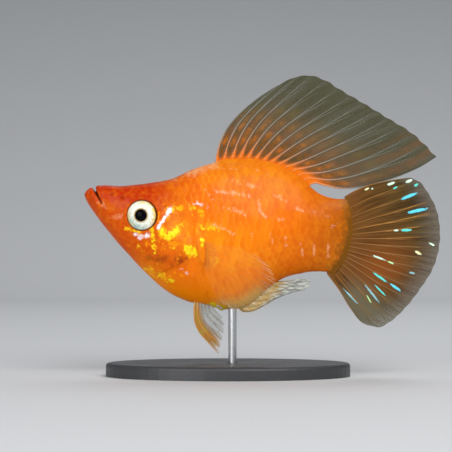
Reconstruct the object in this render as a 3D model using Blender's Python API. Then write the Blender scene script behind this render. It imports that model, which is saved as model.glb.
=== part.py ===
"""A male sailfin molly, life-size, held over a flat base by one rod.

The fish faces -X with its left side towards -Y, and +Z is up. The origin is the centre of the base's
underside. The flesh is one loft of rounded sections along X, parted by thin cuts into lower jaw, head,
torso and tail stalk. Each fin is a patch between four edge curves with its rays raised as ridges.
"""

import math

import bmesh
import bpy
import numpy as np
from mathutils import Matrix

MM = 0.001
GAP = 0.3 * MM  # left between pieces that meet

# Flesh, seen from the side: (x, z) in mm along the back and along the chin and belly.
BACK = (
    (-25.9, 32.9), (-25.5, 33.3), (-24.1, 33.9), (-23.0, 34.2), (-18.7, 34.2), (-14.4, 34.7),
    (-10.1, 35.5), (-5.8, 37.4), (-1.4, 38.6), (2.5, 39.0), (6.7, 38.5), (11.5, 36.6),
    (14.2, 34.7), (16.9, 32.9), (19.1, 32.1), (24.0, 31.9),
)
BELLY = (
    (-25.9, 32.4), (-25.6, 31.8), (-24.1, 29.4), (-20.9, 25.3), (-16.6, 20.4), (-12.2, 16.2),
    (-10.1, 14.7), (-7.9, 13.7), (-3.6, 12.6), (0.7, 12.0), (2.9, 12.4), (5.0, 13.8),
    (7.2, 15.8), (9.4, 17.3), (14.2, 18.6), (19.1, 18.8), (24.0, 18.4),
)
# Half the width, and the height at which the section is widest.
HALF_WIDTH = (
    (-25.9, 1.1), (-25.5, 1.6), (-24.1, 2.4), (-20.9, 3.2), (-16.6, 4.2), (-12.2, 5.0),
    (-6.0, 5.8), (1.0, 6.0), (6.7, 5.3), (11.5, 4.0), (16.9, 2.6), (21.0, 1.5), (24.0, 0.9),
)
WIDEST_AT = (
    (-25.9, 32.6), (-23.0, 31.9), (-16.6, 29.4), (-12.2, 27.0), (-6.0, 24.4), (1.0, 23.6),
    (9.0, 25.6), (16.9, 25.8), (24.0, 25.2),
)
# Roundness of the section over and under its widest line: 2 is an ellipse, more is boxier.
UPPER_ROUNDNESS = ((-25.9, 2.2), (-20.9, 3.0), (-14.4, 3.0), (-8.0, 2.3), (1.0, 1.8), (24.0, 2.0))
LOWER_ROUNDNESS = ((-25.9, 2.0), (-20.9, 1.9), (-12.2, 1.8), (-3.6, 2.0), (6.0, 1.7), (24.0, 2.0))
SNOUT_X, STALK_X = -25.9, 24.0
SNOUT_RINGS, BODY_RINGS, RING_POINTS = 10, 38, 28
FINE_TO_X = -22.4

# Cuts through the flesh, as side-view lines from the top down.
MOUTH_LINE = ((-24.45, 35.2), (-23.95, 33.6), (-23.35, 32.4), (-22.65, 31.1))
MOUTH_OPEN = (0.8, 0.25)  # width of the slit at the lip and at the corner
JAW_LINE = ((-22.65, 31.1), (-22.75, 29.9), (-23.7, 28.2), (-24.6, 27.4))
GILL_LINE = ((-8.9, 38.0), (-6.7, 30.8), (-5.7, 25.4), (-6.5, 20.0), (-9.4, 15.6), (-12.4, 13.0))
STALK_LINE = ((14.6, 37.0), (14.1, 30.0), (13.7, 24.0), (13.9, 16.0))
LIP_BULGE, LIP_WIDTH, LIP_FROM_SLIT = 0.16, 0.45, 0.75

# Eyes and nostrils.
EYE_AT = (-15.3, 3.8, 28.9)
EYE_RADIUS, EYE_HALF_DEPTH, EYE_TURN = 2.85, 1.25, math.radians(10)
SHARP_EDGE = math.radians(40)
NOSTRILS = ((-20.8, 32.7, 0.30), (-18.9, 32.0, 0.36))  # x, z, radius
NOSTRIL_DEPTH = 0.6

# Fins: root, margin, leading edge and trailing edge in the side view, in mm.
DORSAL_ROOT_X = (-2.2, 14.0)
DORSAL_FRONT = ((-2.2, 37.6), (-2.0, 39.4), (-1.5, 41.6), (0.0, 44.8), (2.2, 47.3), (5.4, 50.0), (8.6, 52.1))
DORSAL_REAR = (
    (14.0, 33.9), (15.5, 34.8), (17.3, 34.4), (20.3, 33.8), (23.7, 34.0), (27.4, 34.9),
    (31.1, 36.1), (35.1, 37.9), (37.8, 39.6),
)
DORSAL_MARGIN = (
    (8.6, 52.1), (11.7, 53.7), (14.9, 54.2), (17.5, 53.4), (20.6, 51.5), (24.4, 49.3),
    (29.2, 46.4), (33.3, 43.9), (36.2, 41.3), (37.8, 39.6),
)
TAIL_ROOT = ((21.8, 32.2), (22.2, 29.0), (21.8, 25.0), (20.6, 21.4), (18.6, 18.6))
TAIL_TOP = ((21.8, 32.2), (22.7, 33.2), (24.8, 34.1), (29.5, 35.2), (32.9, 35.7))
TAIL_FOOT = ((18.6, 18.6), (20.2, 15.3), (22.1, 12.2), (24.6, 9.4), (25.8, 9.0))
TAIL_MARGIN = (
    (32.9, 35.7), (34.6, 34.9), (35.9, 33.2), (37.6, 29.9), (38.2, 26.6), (38.1, 23.3),
    (37.0, 19.4), (34.8, 15.8), (32.0, 12.2), (29.0, 9.5), (27.4, 8.7), (25.8, 9.0),
)
ANAL_ROOT = ((1.8, 13.6), (4.2, 14.8), (6.9, 17.0))
ANAL_FRONT = ((1.8, 13.6), (2.5, 12.1), (4.2, 11.9), (6.5, 13.0), (9.9, 14.7), (14.2, 15.8))
ANAL_REAR = ((6.9, 17.0), (8.6, 16.7), (10.8, 16.9), (13.5, 17.2), (14.9, 17.0))
ANAL_MARGIN = ((14.2, 15.8), (14.8, 16.3), (14.9, 17.0))
PECTORAL_ROOT = ((-5.0, 24.3), (-4.6, 22.6), (-4.3, 20.9))
PECTORAL_FRONT = ((-5.0, 24.3), (-1.5, 23.7), (2.5, 22.8), (6.1, 21.2))
PECTORAL_REAR = ((-4.3, 20.9), (-3.6, 18.0), (-2.3, 15.3), (-0.4, 13.0))
PECTORAL_MARGIN = ((6.1, 21.2), (8.0, 18.9), (8.6, 16.4), (7.8, 13.4), (5.4, 11.6), (2.2, 11.5), (-0.4, 13.0))
PECTORAL_ROOT_Y, PECTORAL_RISE, PECTORAL_SPREAD = 4.9, 1.7, 0.33
PELVIC_ROOT = ((-6.0, 14.2), (-4.8, 14.1), (-3.6, 14.0))
PELVIC_FRONT = ((-6.0, 14.2), (-6.1, 11.8), (-5.9, 9.7), (-5.1, 7.9), (-3.8, 6.4), (-1.6, 4.0))
PELVIC_REAR = ((-3.6, 14.0), (-2.7, 12.2), (-1.8, 11.2), (-1.0, 10.5))
PELVIC_MARGIN = ((-1.6, 4.0), (-1.3, 5.4), (-0.8, 7.2), (-0.6, 9.0), (-1.0, 10.5))
PELVIC_ROOT_Y, PELVIC_RISE, PELVIC_SPREAD = 1.0, 0.2, 0.12
# Rays, rows of points along each ray, ray ridge height and half thickness at the root.
DORSAL_BUILD = (14, 8, 0.13, 0.55)
TAIL_BUILD = (17, 8, 0.13, 0.50)
ANAL_BUILD = (5, 8, 0.12, 0.60)
PECTORAL_BUILD = (12, 7, 0.10, 0.45)
PELVIC_BUILD = (6, 8, 0.10, 0.40)
# Where a ray roots, by where it ends: evenly, or bunched at mid height as the tail's rays are.
EVEN = ((0.0, 0.0), (1.0, 1.0))
TAIL_FAN = ((0.0, 0.0), (0.09, 0.22), (0.18, 0.36), (0.29, 0.46), (0.54, 0.63), (0.84, 0.82), (1.0, 1.0))
# How fast the leading and the trailing edge's shape fades across a fin.
EDGE_HOLD, TAIL_EDGE_HOLD = (0.7, 2.5), (5.0, 5.0)
MEMBRANE_HALF = 0.25  # half a fin's thickness
RIDGE_FOOT = 0.28  # from a ray's crest to its foot, in ray spacings
SCALLOP = 0.02  # how far the membrane falls back between ray tips, as a share of the ray
SAIL_LEAN = 1.7  # how far the sail's last ray leans to the right at its tip
TAIL_LEAN_LEFT, TAIL_LEAN_RIGHT = 0.9, 0.45  # sideways lean of the highest and the lowest tail ray

# Stand.
BASE_HALF_LENGTH, BASE_HALF_WIDTH, BASE_THICK, BASE_BEVEL = 22.0, 14.0, 2.4, 0.6
ROD_X, ROD_RADIUS, ROD_SINK, ROD_IN_BODY = 0.8, 0.75, 1.4, 2.4

ORANGE, RED_ORANGE = (0.78, 0.27, 0.02), (0.62, 0.12, 0.01)
OLIVE_MEMBRANE, PALE_MEMBRANE = (0.42, 0.30, 0.10), (0.62, 0.60, 0.50)
SILVER, STEEL, CHARCOAL = (0.80, 0.84, 0.78), (0.60, 0.61, 0.62), (0.06, 0.06, 0.065)


def clear_scene():
    for old in list(bpy.data.objects):
        bpy.data.objects.remove(old)


def smooth_through(at, knots, values):
    """Cubic pieces through (knots, values), each knot's slope the mean of its two sides, read at `at`."""
    step = np.diff(knots)[:, None]
    rise = np.diff(values, axis=0) / step
    inner = (rise[:-1] * step[1:] + rise[1:] * step[:-1]) / (step[:-1] + step[1:])
    slope = np.concatenate([rise[:1], inner, rise[-1:]])
    i = np.clip(np.searchsorted(knots, at, side="right") - 1, 0, len(knots) - 2)
    t = ((at - knots[i]) / step[i, 0])[:, None]
    near, far = (1 - t) ** 2, t**2
    return (
        values[i] * (1 + 2 * t) * near
        + slope[i] * step[i] * t * near
        + values[i + 1] * far * (3 - 2 * t)
        + slope[i + 1] * step[i] * far * (t - 1)
    )


def along_x(stations, x):
    """A quantity listed as (x, value) stations, read at every x."""
    table = np.array(stations, float)
    return smooth_through(np.clip(x, table[0, 0], table[-1, 0]), table[:, 0], table[:, 1:])[:, 0]


def along_line(points, share):
    """A line through points, read at shares of its length."""
    points = np.array(points, float)
    length = np.concatenate([[0], np.cumsum(np.linalg.norm(np.diff(points, axis=0), axis=1))])
    return smooth_through(np.asarray(share, float) * length[-1], length, points)


def flesh_rings(out):
    """Rings of points round the flesh, in mm, grown by `out` on every side."""
    x = np.concatenate(
        [
            np.linspace(SNOUT_X, FINE_TO_X, SNOUT_RINGS, endpoint=False),
            np.linspace(FINE_TO_X, STALK_X, BODY_RINGS),
        ]
    )
    top, foot = along_x(BACK, x) + out, along_x(BELLY, x) - out
    widest, half = along_x(WIDEST_AT, x), along_x(HALF_WIDTH, x) + out
    angle = np.arange(RING_POINTS) * 2 * math.pi / RING_POINTS
    cosine, sine = np.cos(angle)[None, :], np.sin(angle)[None, :]
    upper = sine >= 0
    power = 2 / np.where(upper, along_x(UPPER_ROUNDNESS, x)[:, None], along_x(LOWER_ROUNDNESS, x)[:, None])
    reach = np.where(upper, (top - widest)[:, None], (widest - foot)[:, None])
    y = half[:, None] * np.sign(cosine) * np.abs(cosine) ** power
    z = widest[:, None] + reach * np.sign(sine) * np.abs(sine) ** power
    x = np.repeat(x[:, None], RING_POINTS, axis=1)
    x[0] -= out
    x[-1] += out
    return raise_lips(np.stack([x, y, z], axis=-1), widest[:, None])


def raise_lips(rings, widest):
    """Swells the flesh into a lip on each side of the mouth's slit."""
    slit = along_line(MOUTH_LINE, np.linspace(0, 1, 24))
    away = np.linalg.norm(rings[:, :, None, [0, 2]] - slit, axis=-1).min(axis=-1)
    swell = LIP_BULGE * np.exp(-(((away - LIP_FROM_SLIT) / LIP_WIDTH) ** 2))
    outward = rings - np.stack([rings[..., 0], 0 * rings[..., 1], 0 * rings[..., 2] + widest], axis=-1)
    outward /= np.maximum(np.linalg.norm(outward, axis=-1, keepdims=True), 0.1)
    return rings + outward * swell[..., None]


def mesh_object(name, points, faces, collection):
    """A new object from points in mm."""
    mesh = bpy.data.meshes.new(name)
    mesh.from_pydata((np.asarray(points) * MM).tolist(), [], [list(f) for f in faces])
    made = bpy.data.objects.new(name, mesh)
    collection.objects.link(made)
    return made


def grid_triangles(columns, rows, start=0, flip=False):
    """Two triangles for each cell of a grid whose points run row by row, all cut along the same diagonal."""
    corner = start + (np.arange(rows - 1)[:, None] * columns + np.arange(columns - 1)).ravel()
    beside, above, across = corner + 1, corner + columns, corner + columns + 1
    faces = np.concatenate([np.stack([corner, beside, across], 1), np.stack([corner, across, above], 1)])
    return faces[:, ::-1] if flip else faces


def flesh_object(name, collection, out=0.0):
    """The whole flesh as one closed loft."""
    rings = flesh_rings(out / MM)
    count, around = rings.shape[:2]
    ring, point = np.arange(count - 1)[:, None] * around, np.arange(around)
    following = (point + 1) % around
    sides = np.stack([ring + point, ring + following, ring + around + following, ring + around + point], -1)
    faces = sides.reshape(-1, 4).tolist()
    faces.append(list(reversed(range(around))))
    faces.append([(count - 1) * around + i for i in range(around)])
    return mesh_object(name, rings.reshape(-1, 3), faces, collection)


def slab(name, outline, collection, half_depth=10.0):
    """A side-view outline in mm carried straight across the fish, as a cutter."""
    mesh = bmesh.new()
    corners = [mesh.verts.new((x * MM, -half_depth * MM, z * MM)) for x, z in outline]
    face = mesh.faces.new(corners)
    grown = bmesh.ops.extrude_face_region(mesh, geom=[face])["geom"]
    moved = [part for part in grown if isinstance(part, bmesh.types.BMVert)]
    bmesh.ops.translate(mesh, verts=moved, vec=(0, 2 * half_depth * MM, 0))
    bmesh.ops.recalc_face_normals(mesh, faces=mesh.faces)
    return finished(name, mesh, collection)


def finished(name, mesh, collection):
    """Turns a bmesh into an object."""
    data = bpy.data.meshes.new(name)
    mesh.to_mesh(data)
    mesh.free()
    made = bpy.data.objects.new(name, data)
    collection.objects.link(made)
    return made


def kerf(name, line, collection, first=0.3, last=0.3, points=14):
    """A thin cutter that follows a line and tapers from one width to the other."""
    middle = along_line(line, np.linspace(0, 1, points))
    heading = np.gradient(middle, axis=0)
    heading /= np.linalg.norm(heading, axis=1, keepdims=True)
    across = np.stack([-heading[:, 1], heading[:, 0]], 1) * np.linspace(first, last, points)[:, None] / 2
    return slab(name, np.concatenate([middle + across, (middle - across)[::-1]]), collection)


def ellipsoid(name, centre, radii, turn, collection):
    """A ball of these radii in mm, its poles facing the sides, turned about Z by `turn`."""
    mesh = bmesh.new()
    bmesh.ops.create_uvsphere(mesh, u_segments=24, v_segments=12, radius=1.0)
    bmesh.ops.rotate(mesh, verts=mesh.verts, matrix=Matrix.Rotation(math.pi / 2, 3, "X"))
    bmesh.ops.scale(mesh, verts=mesh.verts, vec=[r * MM for r in radii])
    bmesh.ops.rotate(mesh, verts=mesh.verts, matrix=Matrix.Rotation(turn, 3, "Z"))
    bmesh.ops.translate(mesh, verts=mesh.verts, vec=[c * MM for c in centre])
    return finished(name, mesh, collection)


def round_bar(name, radius, ends, collection, x):
    """An upright cylinder in mm between two heights."""
    mesh = bmesh.new()
    low, high = ends
    radius *= MM
    bmesh.ops.create_cone(
        mesh, cap_ends=True, segments=20, radius1=radius, radius2=radius, depth=(high - low) * MM
    )
    bmesh.ops.translate(mesh, verts=mesh.verts, vec=(x * MM, 0, (high + low) / 2 * MM))
    return finished(name, mesh, collection)


def cut_away(target, cutters, solver="EXACT"):
    """Cuts every mesh of a collection, or one mesh, out of target and keeps the result."""
    change = target.modifiers.new("cut", "BOOLEAN")
    change.operation, change.solver = "DIFFERENCE", solver
    if isinstance(cutters, bpy.types.Collection):
        change.operand_type, change.collection = "COLLECTION", cutters
    else:
        change.object = cutters
    graph = bpy.context.evaluated_depsgraph_get()
    data = bpy.data.meshes.new_from_object(target.evaluated_get(graph))
    target.modifiers.clear()
    target.data = data


def islands(obj):
    """The separate closed surfaces of an object, largest box first, each as its own object."""
    bpy.context.view_layer.objects.active = obj
    for other in bpy.context.view_layer.objects:
        other.select_set(other == obj)
    bpy.ops.object.mode_set(mode="EDIT")
    bpy.ops.mesh.select_all(action="SELECT")
    bpy.ops.mesh.separate(type="LOOSE")
    bpy.ops.object.mode_set(mode="OBJECT")
    found = [o for o in bpy.context.selected_objects if o.type == "MESH"]
    return sorted(found, key=lambda o: -math.prod(o.dimensions))


def keep_largest(obj, name):
    """Drops loose scraps that a cut leaves, and names what stays."""
    whole, *scraps = islands(obj)
    for scrap in scraps:
        bpy.data.objects.remove(scrap)
    whole.name = name
    return whole


def paint(obj, colour, roughness, metallic=0.0):
    """Gives an object its own plain material."""
    material = bpy.data.materials.new(obj.name)
    material.use_nodes = True
    shader = material.node_tree.nodes["Principled BSDF"]
    shader.inputs["Base Color"].default_value = (*colour, 1)
    shader.inputs["Roughness"].default_value = roughness
    shader.inputs["Metallic"].default_value = metallic
    obj.data.materials.clear()
    obj.data.materials.append(material)
    obj.data.shade_smooth()
    obj.data.set_sharp_from_angle(angle=SHARP_EDGE)


def ray_columns(rays):
    """Places across a fin, from 0 at its leading ray to 1 at its last, and 1 where a ray's crest runs."""
    crest = np.arange(rays) / (rays - 1)
    foot = RIDGE_FOOT / (rays - 1)
    place = np.sort(np.concatenate([crest, crest[1:] - foot, crest[:-1] + foot]))
    on_ray = np.isclose(place[:, None], crest[None, :]).any(axis=1)
    return place, on_ray.astype(float)


def fin_surface(root, margin, front, rear, fan, hold, place, share, lean):
    """The middle surface of a fin: rays from root to margin, each shaped by the edge that it is nearer to."""
    start, end = along_line(root, along_x(fan, place))[None], along_line(margin, place)[None]
    up = share[:, :, None]
    surface = (1 - up) * start + up * end
    for edge, weight in ((front, (1 - place) ** hold[0]), (rear, place ** hold[1])):
        line = along_line(edge, share.ravel()).reshape(*share.shape, 2)
        chord = (1 - up) * np.array(edge[0]) + up * np.array(edge[-1])
        surface = surface + weight[None, :, None] * (line - chord)
    away = np.linalg.norm(surface - start, axis=-1)
    return np.stack([surface[..., 0], lean(place[None, :], share, away), surface[..., 1]], axis=-1)


def fin(name, collection, edges, made_with, lean):
    """A closed fin: the middle surface thickened both ways, thickest at the root and along each ray."""
    rays, rows, ridge, root_half = made_with
    place, on_ray = ray_columns(rays)
    share = np.linspace(0, 1, rows)[:, None] * (1 - SCALLOP * (1 - on_ray[None, :]))
    middle = fin_surface(*edges, place, share, lean)
    along, across = np.gradient(middle, axis=0), np.gradient(middle, axis=1)
    normal = np.cross(across, along)
    normal /= np.linalg.norm(normal, axis=-1, keepdims=True)
    fade = (1 - share) ** 3
    half = MEMBRANE_HALF * (1 - 0.25 * share**3) + (root_half - MEMBRANE_HALF) * fade
    half = half + ridge * on_ray[None, :] * (1 - 0.5 * share)
    sides = [middle + normal * half[..., None], middle - normal * half[..., None]]
    columns, count = len(place), len(place) * rows
    edge = np.concatenate(
        [
            np.arange(columns),
            np.arange(1, rows) * columns + columns - 1,
            (rows - 1) * columns + np.arange(columns - 1)[::-1],
            np.arange(rows - 1)[:0:-1] * columns,
        ]
    )
    after = np.roll(edge, -1)
    rim = np.concatenate(
        [np.stack([edge, after, after + count], 1), np.stack([edge, after + count, edge + count], 1)]
    )
    faces = np.concatenate(
        [grid_triangles(columns, rows, flip=True), grid_triangles(columns, rows, start=count), rim]
    )
    made = mesh_object(name, np.concatenate([s.reshape(-1, 3) for s in sides]), faces, collection)
    mesh = bmesh.new()
    mesh.from_mesh(made.data)
    bmesh.ops.recalc_face_normals(mesh, faces=mesh.faces)
    mesh.to_mesh(made.data)
    mesh.free()
    return made


def face_cutters(cutters):
    """The hollows that the eyes sit in, and the nostrils' pits."""
    eye_x, eye_y, eye_z = EYE_AT
    room = [r + GAP / MM for r in (EYE_RADIUS, EYE_HALF_DEPTH, EYE_RADIUS)]
    for side in (-1, 1):
        ellipsoid("eye_socket", (eye_x, side * eye_y, eye_z), room, -side * EYE_TURN, cutters)
        for x, z, radius in NOSTRILS:
            skin = float(along_x(HALF_WIDTH, np.array([x]))[0])
            ellipsoid("nostril", (x, side * skin, z), (radius, NOSTRIL_DEPTH, radius), 0, cutters)


def belly_at_rod():
    """The height in mm at which the rod meets the belly."""
    return float(along_x(BELLY, np.array([ROD_X]))[0])


def flesh_nodes(fish, cutters):
    """Cuts the whole flesh into lower jaw, head, torso and tail stalk."""
    kerf("mouth", MOUTH_LINE, cutters, *MOUTH_OPEN)
    kerf("jaw_hinge", JAW_LINE, cutters, MOUTH_OPEN[1], 0.3)
    kerf("gill_slit", GILL_LINE, cutters)
    kerf("stalk_cut", STALK_LINE, cutters)
    beyond = along_line(TAIL_ROOT, np.linspace(-0.2, 1.2, 15))
    slab("tail_end", [(30.0, 40.0), *beyond, (30.0, 12.0)], cutters)
    belly = belly_at_rod()
    socket = (belly - 2, belly + ROD_IN_BODY + GAP / MM)
    round_bar("rod_socket", ROD_RADIUS + GAP / MM, socket, cutters, ROD_X)
    face_cutters(cutters)
    whole = flesh_object("flesh", fish)
    cut_away(whole, cutters)
    colours = {"lower_jaw": RED_ORANGE, "head": RED_ORANGE, "torso": ORANGE, "tail_stalk": ORANGE}
    pieces = islands(whole)
    for scrap in pieces[len(colours) :]:
        bpy.data.objects.remove(scrap)
    pieces = pieces[: len(colours)]
    pieces.sort(key=lambda piece: sum(corner[0] for corner in piece.bound_box))
    for piece, (name, colour) in zip(pieces, colours.items()):
        piece.name = name
        paint(piece, colour, 0.35)


def upright(place, share, away):
    """A fin in the fish's middle plane."""
    return 0 * away


def dorsal_lean(place, share, away):
    """The sail's trailing rays lean to the right, clear of the tail fin that they overlap."""
    return SAIL_LEAN * place**3 * share**0.7


def tail_lean(place, share, away):
    """The upper tail rays lean left and the lower ones a little right."""
    at_tip = TAIL_LEAN_RIGHT - (TAIL_LEAN_LEFT + TAIL_LEAN_RIGHT) * (1 - place) ** 0.8
    return at_tip * (1 - np.exp(-5 * share))


def stand_off(side, root_y, rise, spread):
    """A paired fin leaves the flank steeply and then spreads outwards."""

    def lean(place, share, away):
        return side * (root_y + rise * (1 - np.exp(-away / 0.8)) + spread * away)

    return lean


def fins(fish, clearance):
    """Every fin, its root trimmed to the flesh."""
    root_x = np.linspace(*DORSAL_ROOT_X, 9)
    dorsal_root = np.stack([root_x, along_x(BACK, root_x) - 1.0], 1)
    dorsal_root[0], dorsal_root[-1] = DORSAL_FRONT[0], DORSAL_REAR[0]
    tail_root = np.array(TAIL_ROOT) + (GAP / MM, 0)
    tail_top = ((tail_root[0][0], tail_root[0][1]), *TAIL_TOP[1:])
    tail_foot = ((tail_root[-1][0], tail_root[-1][1]), *TAIL_FOOT[1:])
    dorsal = (dorsal_root, DORSAL_MARGIN, DORSAL_FRONT, DORSAL_REAR, EVEN, EDGE_HOLD)
    tail = (tail_root, TAIL_MARGIN, tail_top, tail_foot, TAIL_FAN, TAIL_EDGE_HOLD)
    anal = (ANAL_ROOT, ANAL_MARGIN, ANAL_FRONT, ANAL_REAR, EVEN, EDGE_HOLD)
    pectoral = (PECTORAL_ROOT, PECTORAL_MARGIN, PECTORAL_FRONT, PECTORAL_REAR, EVEN, EDGE_HOLD)
    pelvic = (PELVIC_ROOT, PELVIC_MARGIN, PELVIC_FRONT, PELVIC_REAR, EVEN, EDGE_HOLD)
    rooted = [
        (fin("dorsal_fin", fish, dorsal, DORSAL_BUILD, dorsal_lean), OLIVE_MEMBRANE),
        (fin("gonopodium", fish, anal, ANAL_BUILD, upright), PALE_MEMBRANE),
    ]
    for side, hand in ((-1, "left"), (1, "right")):
        out = stand_off(side, PECTORAL_ROOT_Y, PECTORAL_RISE, PECTORAL_SPREAD)
        rooted.append((fin(f"pectoral_fin_{hand}", fish, pectoral, PECTORAL_BUILD, out), PALE_MEMBRANE))
        out = stand_off(side, PELVIC_ROOT_Y, PELVIC_RISE, PELVIC_SPREAD)
        rooted.append((fin(f"pelvic_fin_{hand}", fish, pelvic, PELVIC_BUILD, out), ORANGE))
    for made, colour in rooted:
        cut_away(made, clearance, "MANIFOLD")
        paint(keep_largest(made, made.name), colour, 0.3)
    paint(fin("caudal_fin", fish, tail, TAIL_BUILD, tail_lean), OLIVE_MEMBRANE, 0.3)


def eyes(fish):
    x, y, z = EYE_AT
    for side, hand in ((-1, "left"), (1, "right")):
        radii = (EYE_RADIUS, EYE_HALF_DEPTH, EYE_RADIUS)
        paint(ellipsoid(f"eye_{hand}", (x, side * y, z), radii, -side * EYE_TURN, fish), SILVER, 0.15)


def stand(fish):
    """An oval base with a round rod let into it and into the belly."""
    mesh = bmesh.new()
    bmesh.ops.create_cone(mesh, cap_ends=True, segments=64, radius1=1, radius2=1, depth=1)
    size = (BASE_HALF_LENGTH * MM, BASE_HALF_WIDTH * MM, BASE_THICK * MM)
    bmesh.ops.scale(mesh, verts=mesh.verts, vec=size)
    bmesh.ops.translate(mesh, verts=mesh.verts, vec=(0, 0, BASE_THICK / 2 * MM))
    rim = [e for e in mesh.edges if all(v.co.z > BASE_THICK / 2 * MM for v in e.verts)]
    bmesh.ops.bevel(mesh, geom=rim, offset=BASE_BEVEL * MM, segments=3, profile=0.5, affect="EDGES")
    base = finished("stand_base", mesh, fish)
    floor = BASE_THICK - ROD_SINK
    hole = round_bar("rod_hole", ROD_RADIUS + GAP / MM, (floor, BASE_THICK + 1), fish, ROD_X)
    cut_away(base, hole)
    bpy.data.objects.remove(hole)
    paint(base, CHARCOAL, 0.35)
    rod = round_bar("stand_rod", ROD_RADIUS, (floor + GAP / MM, belly_at_rod() + ROD_IN_BODY), fish, ROD_X)
    paint(rod, STEEL, 0.25, 1.0)


def build():
    clear_scene()
    fish = bpy.data.collections.new("sailfin_molly")
    cutters = bpy.data.collections.new("cutters")
    for group in (fish, cutters):
        bpy.context.scene.collection.children.link(group)
    flesh_nodes(fish, cutters)
    clearance = flesh_object("clearance", cutters, out=GAP)
    fins(fish, clearance)
    eyes(fish)
    stand(fish)
    for guide in cutters.objects:
        guide.hide_render = True
        guide.display_type = "WIRE"
    holder = bpy.data.objects.new("molly_on_stand", None)
    fish.objects.link(holder)
    for piece in fish.objects:
        if piece.type == "MESH":
            piece.parent = holder


build()
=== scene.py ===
import math

import bpy
import numpy as np
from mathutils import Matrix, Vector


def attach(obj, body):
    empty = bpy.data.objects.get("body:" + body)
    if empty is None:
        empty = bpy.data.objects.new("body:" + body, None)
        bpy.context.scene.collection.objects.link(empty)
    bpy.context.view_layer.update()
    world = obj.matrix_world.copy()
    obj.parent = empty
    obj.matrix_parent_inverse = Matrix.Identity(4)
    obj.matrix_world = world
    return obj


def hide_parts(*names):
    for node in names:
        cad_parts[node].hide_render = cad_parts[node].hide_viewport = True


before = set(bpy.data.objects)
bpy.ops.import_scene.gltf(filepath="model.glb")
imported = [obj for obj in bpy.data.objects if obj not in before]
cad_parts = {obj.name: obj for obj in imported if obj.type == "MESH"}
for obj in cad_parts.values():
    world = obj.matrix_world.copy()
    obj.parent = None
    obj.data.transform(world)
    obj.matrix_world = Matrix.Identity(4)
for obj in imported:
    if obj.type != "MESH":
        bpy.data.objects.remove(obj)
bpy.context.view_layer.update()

# Skin. One wet, finely scaled skin covers the flesh from the lower jaw's tip to the root of the tail fin. It
# is a loft of rounded sections along the fish, raised and sunk by its lips, mouth slit, nostrils, eye rims,
# gill covers and overlapping scales, and painted with the gold and lilac glints of its scales.
MM, scene = 0.001, bpy.context.scene
BACK = (
    (-25.9, 32.9), (-25.5, 33.3), (-24.1, 33.9), (-23, 34.2), (-18.7, 34.2), (-14.4, 34.7),
    (-10.1, 35.5), (-5.8, 37.4), (-1.4, 38.6), (2.5, 39), (6.7, 38.5), (11.5, 36.6),
    (14.2, 34.7), (16.9, 32.9), (19.1, 32.1), (24, 31.9),
)
BELLY = (
    (-25.9, 32.4), (-25.6, 31.8), (-24.1, 29.4), (-20.9, 25.3), (-16.6, 20.4), (-12.2, 16.2),
    (-10.1, 14.7), (-7.9, 13.7), (-3.6, 12.6), (0.7, 12), (2.9, 12.4), (5, 13.8),
    (7.2, 15.8), (9.4, 17.3), (14.2, 18.6), (19.1, 18.8), (24, 18.4),
)
HALF_WIDTH = (
    (-25.9, 1.1), (-25.5, 1.6), (-24.1, 2.4), (-20.9, 3.2), (-16.6, 4.2), (-12.2, 5), (-6, 5.8),
    (1, 6), (6.7, 5.3), (11.5, 4), (16.9, 2.6), (21, 1.15), (23.2, 0.35), (24, 0.1),
)
WIDEST_AT = (
    (-25.9, 32.6), (-23, 31.9), (-16.6, 29.4), (-12.2, 27), (-6, 24.4), (1, 23.6),
    (9, 25.6), (16.9, 25.8), (24, 25.2),
)
UPPER_ROUNDNESS = ((-25.9, 2.2), (-20.9, 3), (-14.4, 3), (-8, 2.3), (1, 1.8), (24, 2))
LOWER_ROUNDNESS = ((-25.9, 2), (-20.9, 1.9), (-12.2, 1.8), (-3.6, 2), (6, 1.7), (24, 2))
SNOUT_X, STALK_X, TAIL_BENDS_FROM, TAIL_OVERLAP = -25.9, 24, 13, 0.8
TAIL_ROOT = ((21.8, 32.2), (22.2, 29), (21.8, 25), (20.6, 21.4), (18.6, 18.6))
TIP_ROUNDING, TIP_FROM, TIP_RINGS = 0.55, 0.12, 14
LIPS_END_X, LIP_RINGS, BODY_RINGS, RING_POINTS = -22, 54, 290, 256
RINGS = np.concatenate([
    SNOUT_X + TIP_ROUNDING * (1 - np.cos(np.linspace(TIP_FROM, math.pi / 2, TIP_RINGS))),
    np.linspace(SNOUT_X + TIP_ROUNDING, LIPS_END_X, LIP_RINGS)[1:],
    np.linspace(LIPS_END_X, STALK_X, BODY_RINGS)[1:],
])
MOUTH_LINE = ((-24.45, 35.2), (-23.95, 33.6), (-23.35, 32.4), (-22.65, 31.1))
JAW_LINE = ((-22.65, 31.1), (-22.75, 29.9), (-23.7, 28.2), (-24.6, 27.4))
GILL_LINE = (
    (-8.4, 34.5), (-7, 31), (-6.1, 27.5), (-6, 24.4),
    (-6.9, 21.8), (-8.8, 20), (-11.6, 18.9), (-15, 18.4),
)
CHEEK_LINE = ((-12, 32), (-11.9, 28.2), (-12.6, 24.6), (-14.6, 22), (-17.6, 21))
NOSTRILS = ((-20.8, 32.7, 0.24), (-18.9, 32, 0.3))
EYE_AT, EYE_OPENING, EYE_BOWL_DEPTH = (-15.3, 28.9), 2.66, 1.5
FIN_ARM_LINE, VENT_X = ((-5.2, 24.3), (-4.4, 20.9)), -1.2
SHEATH_START, SHEATH_END = (-3, -1.5), (13.5, 15)
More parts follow.
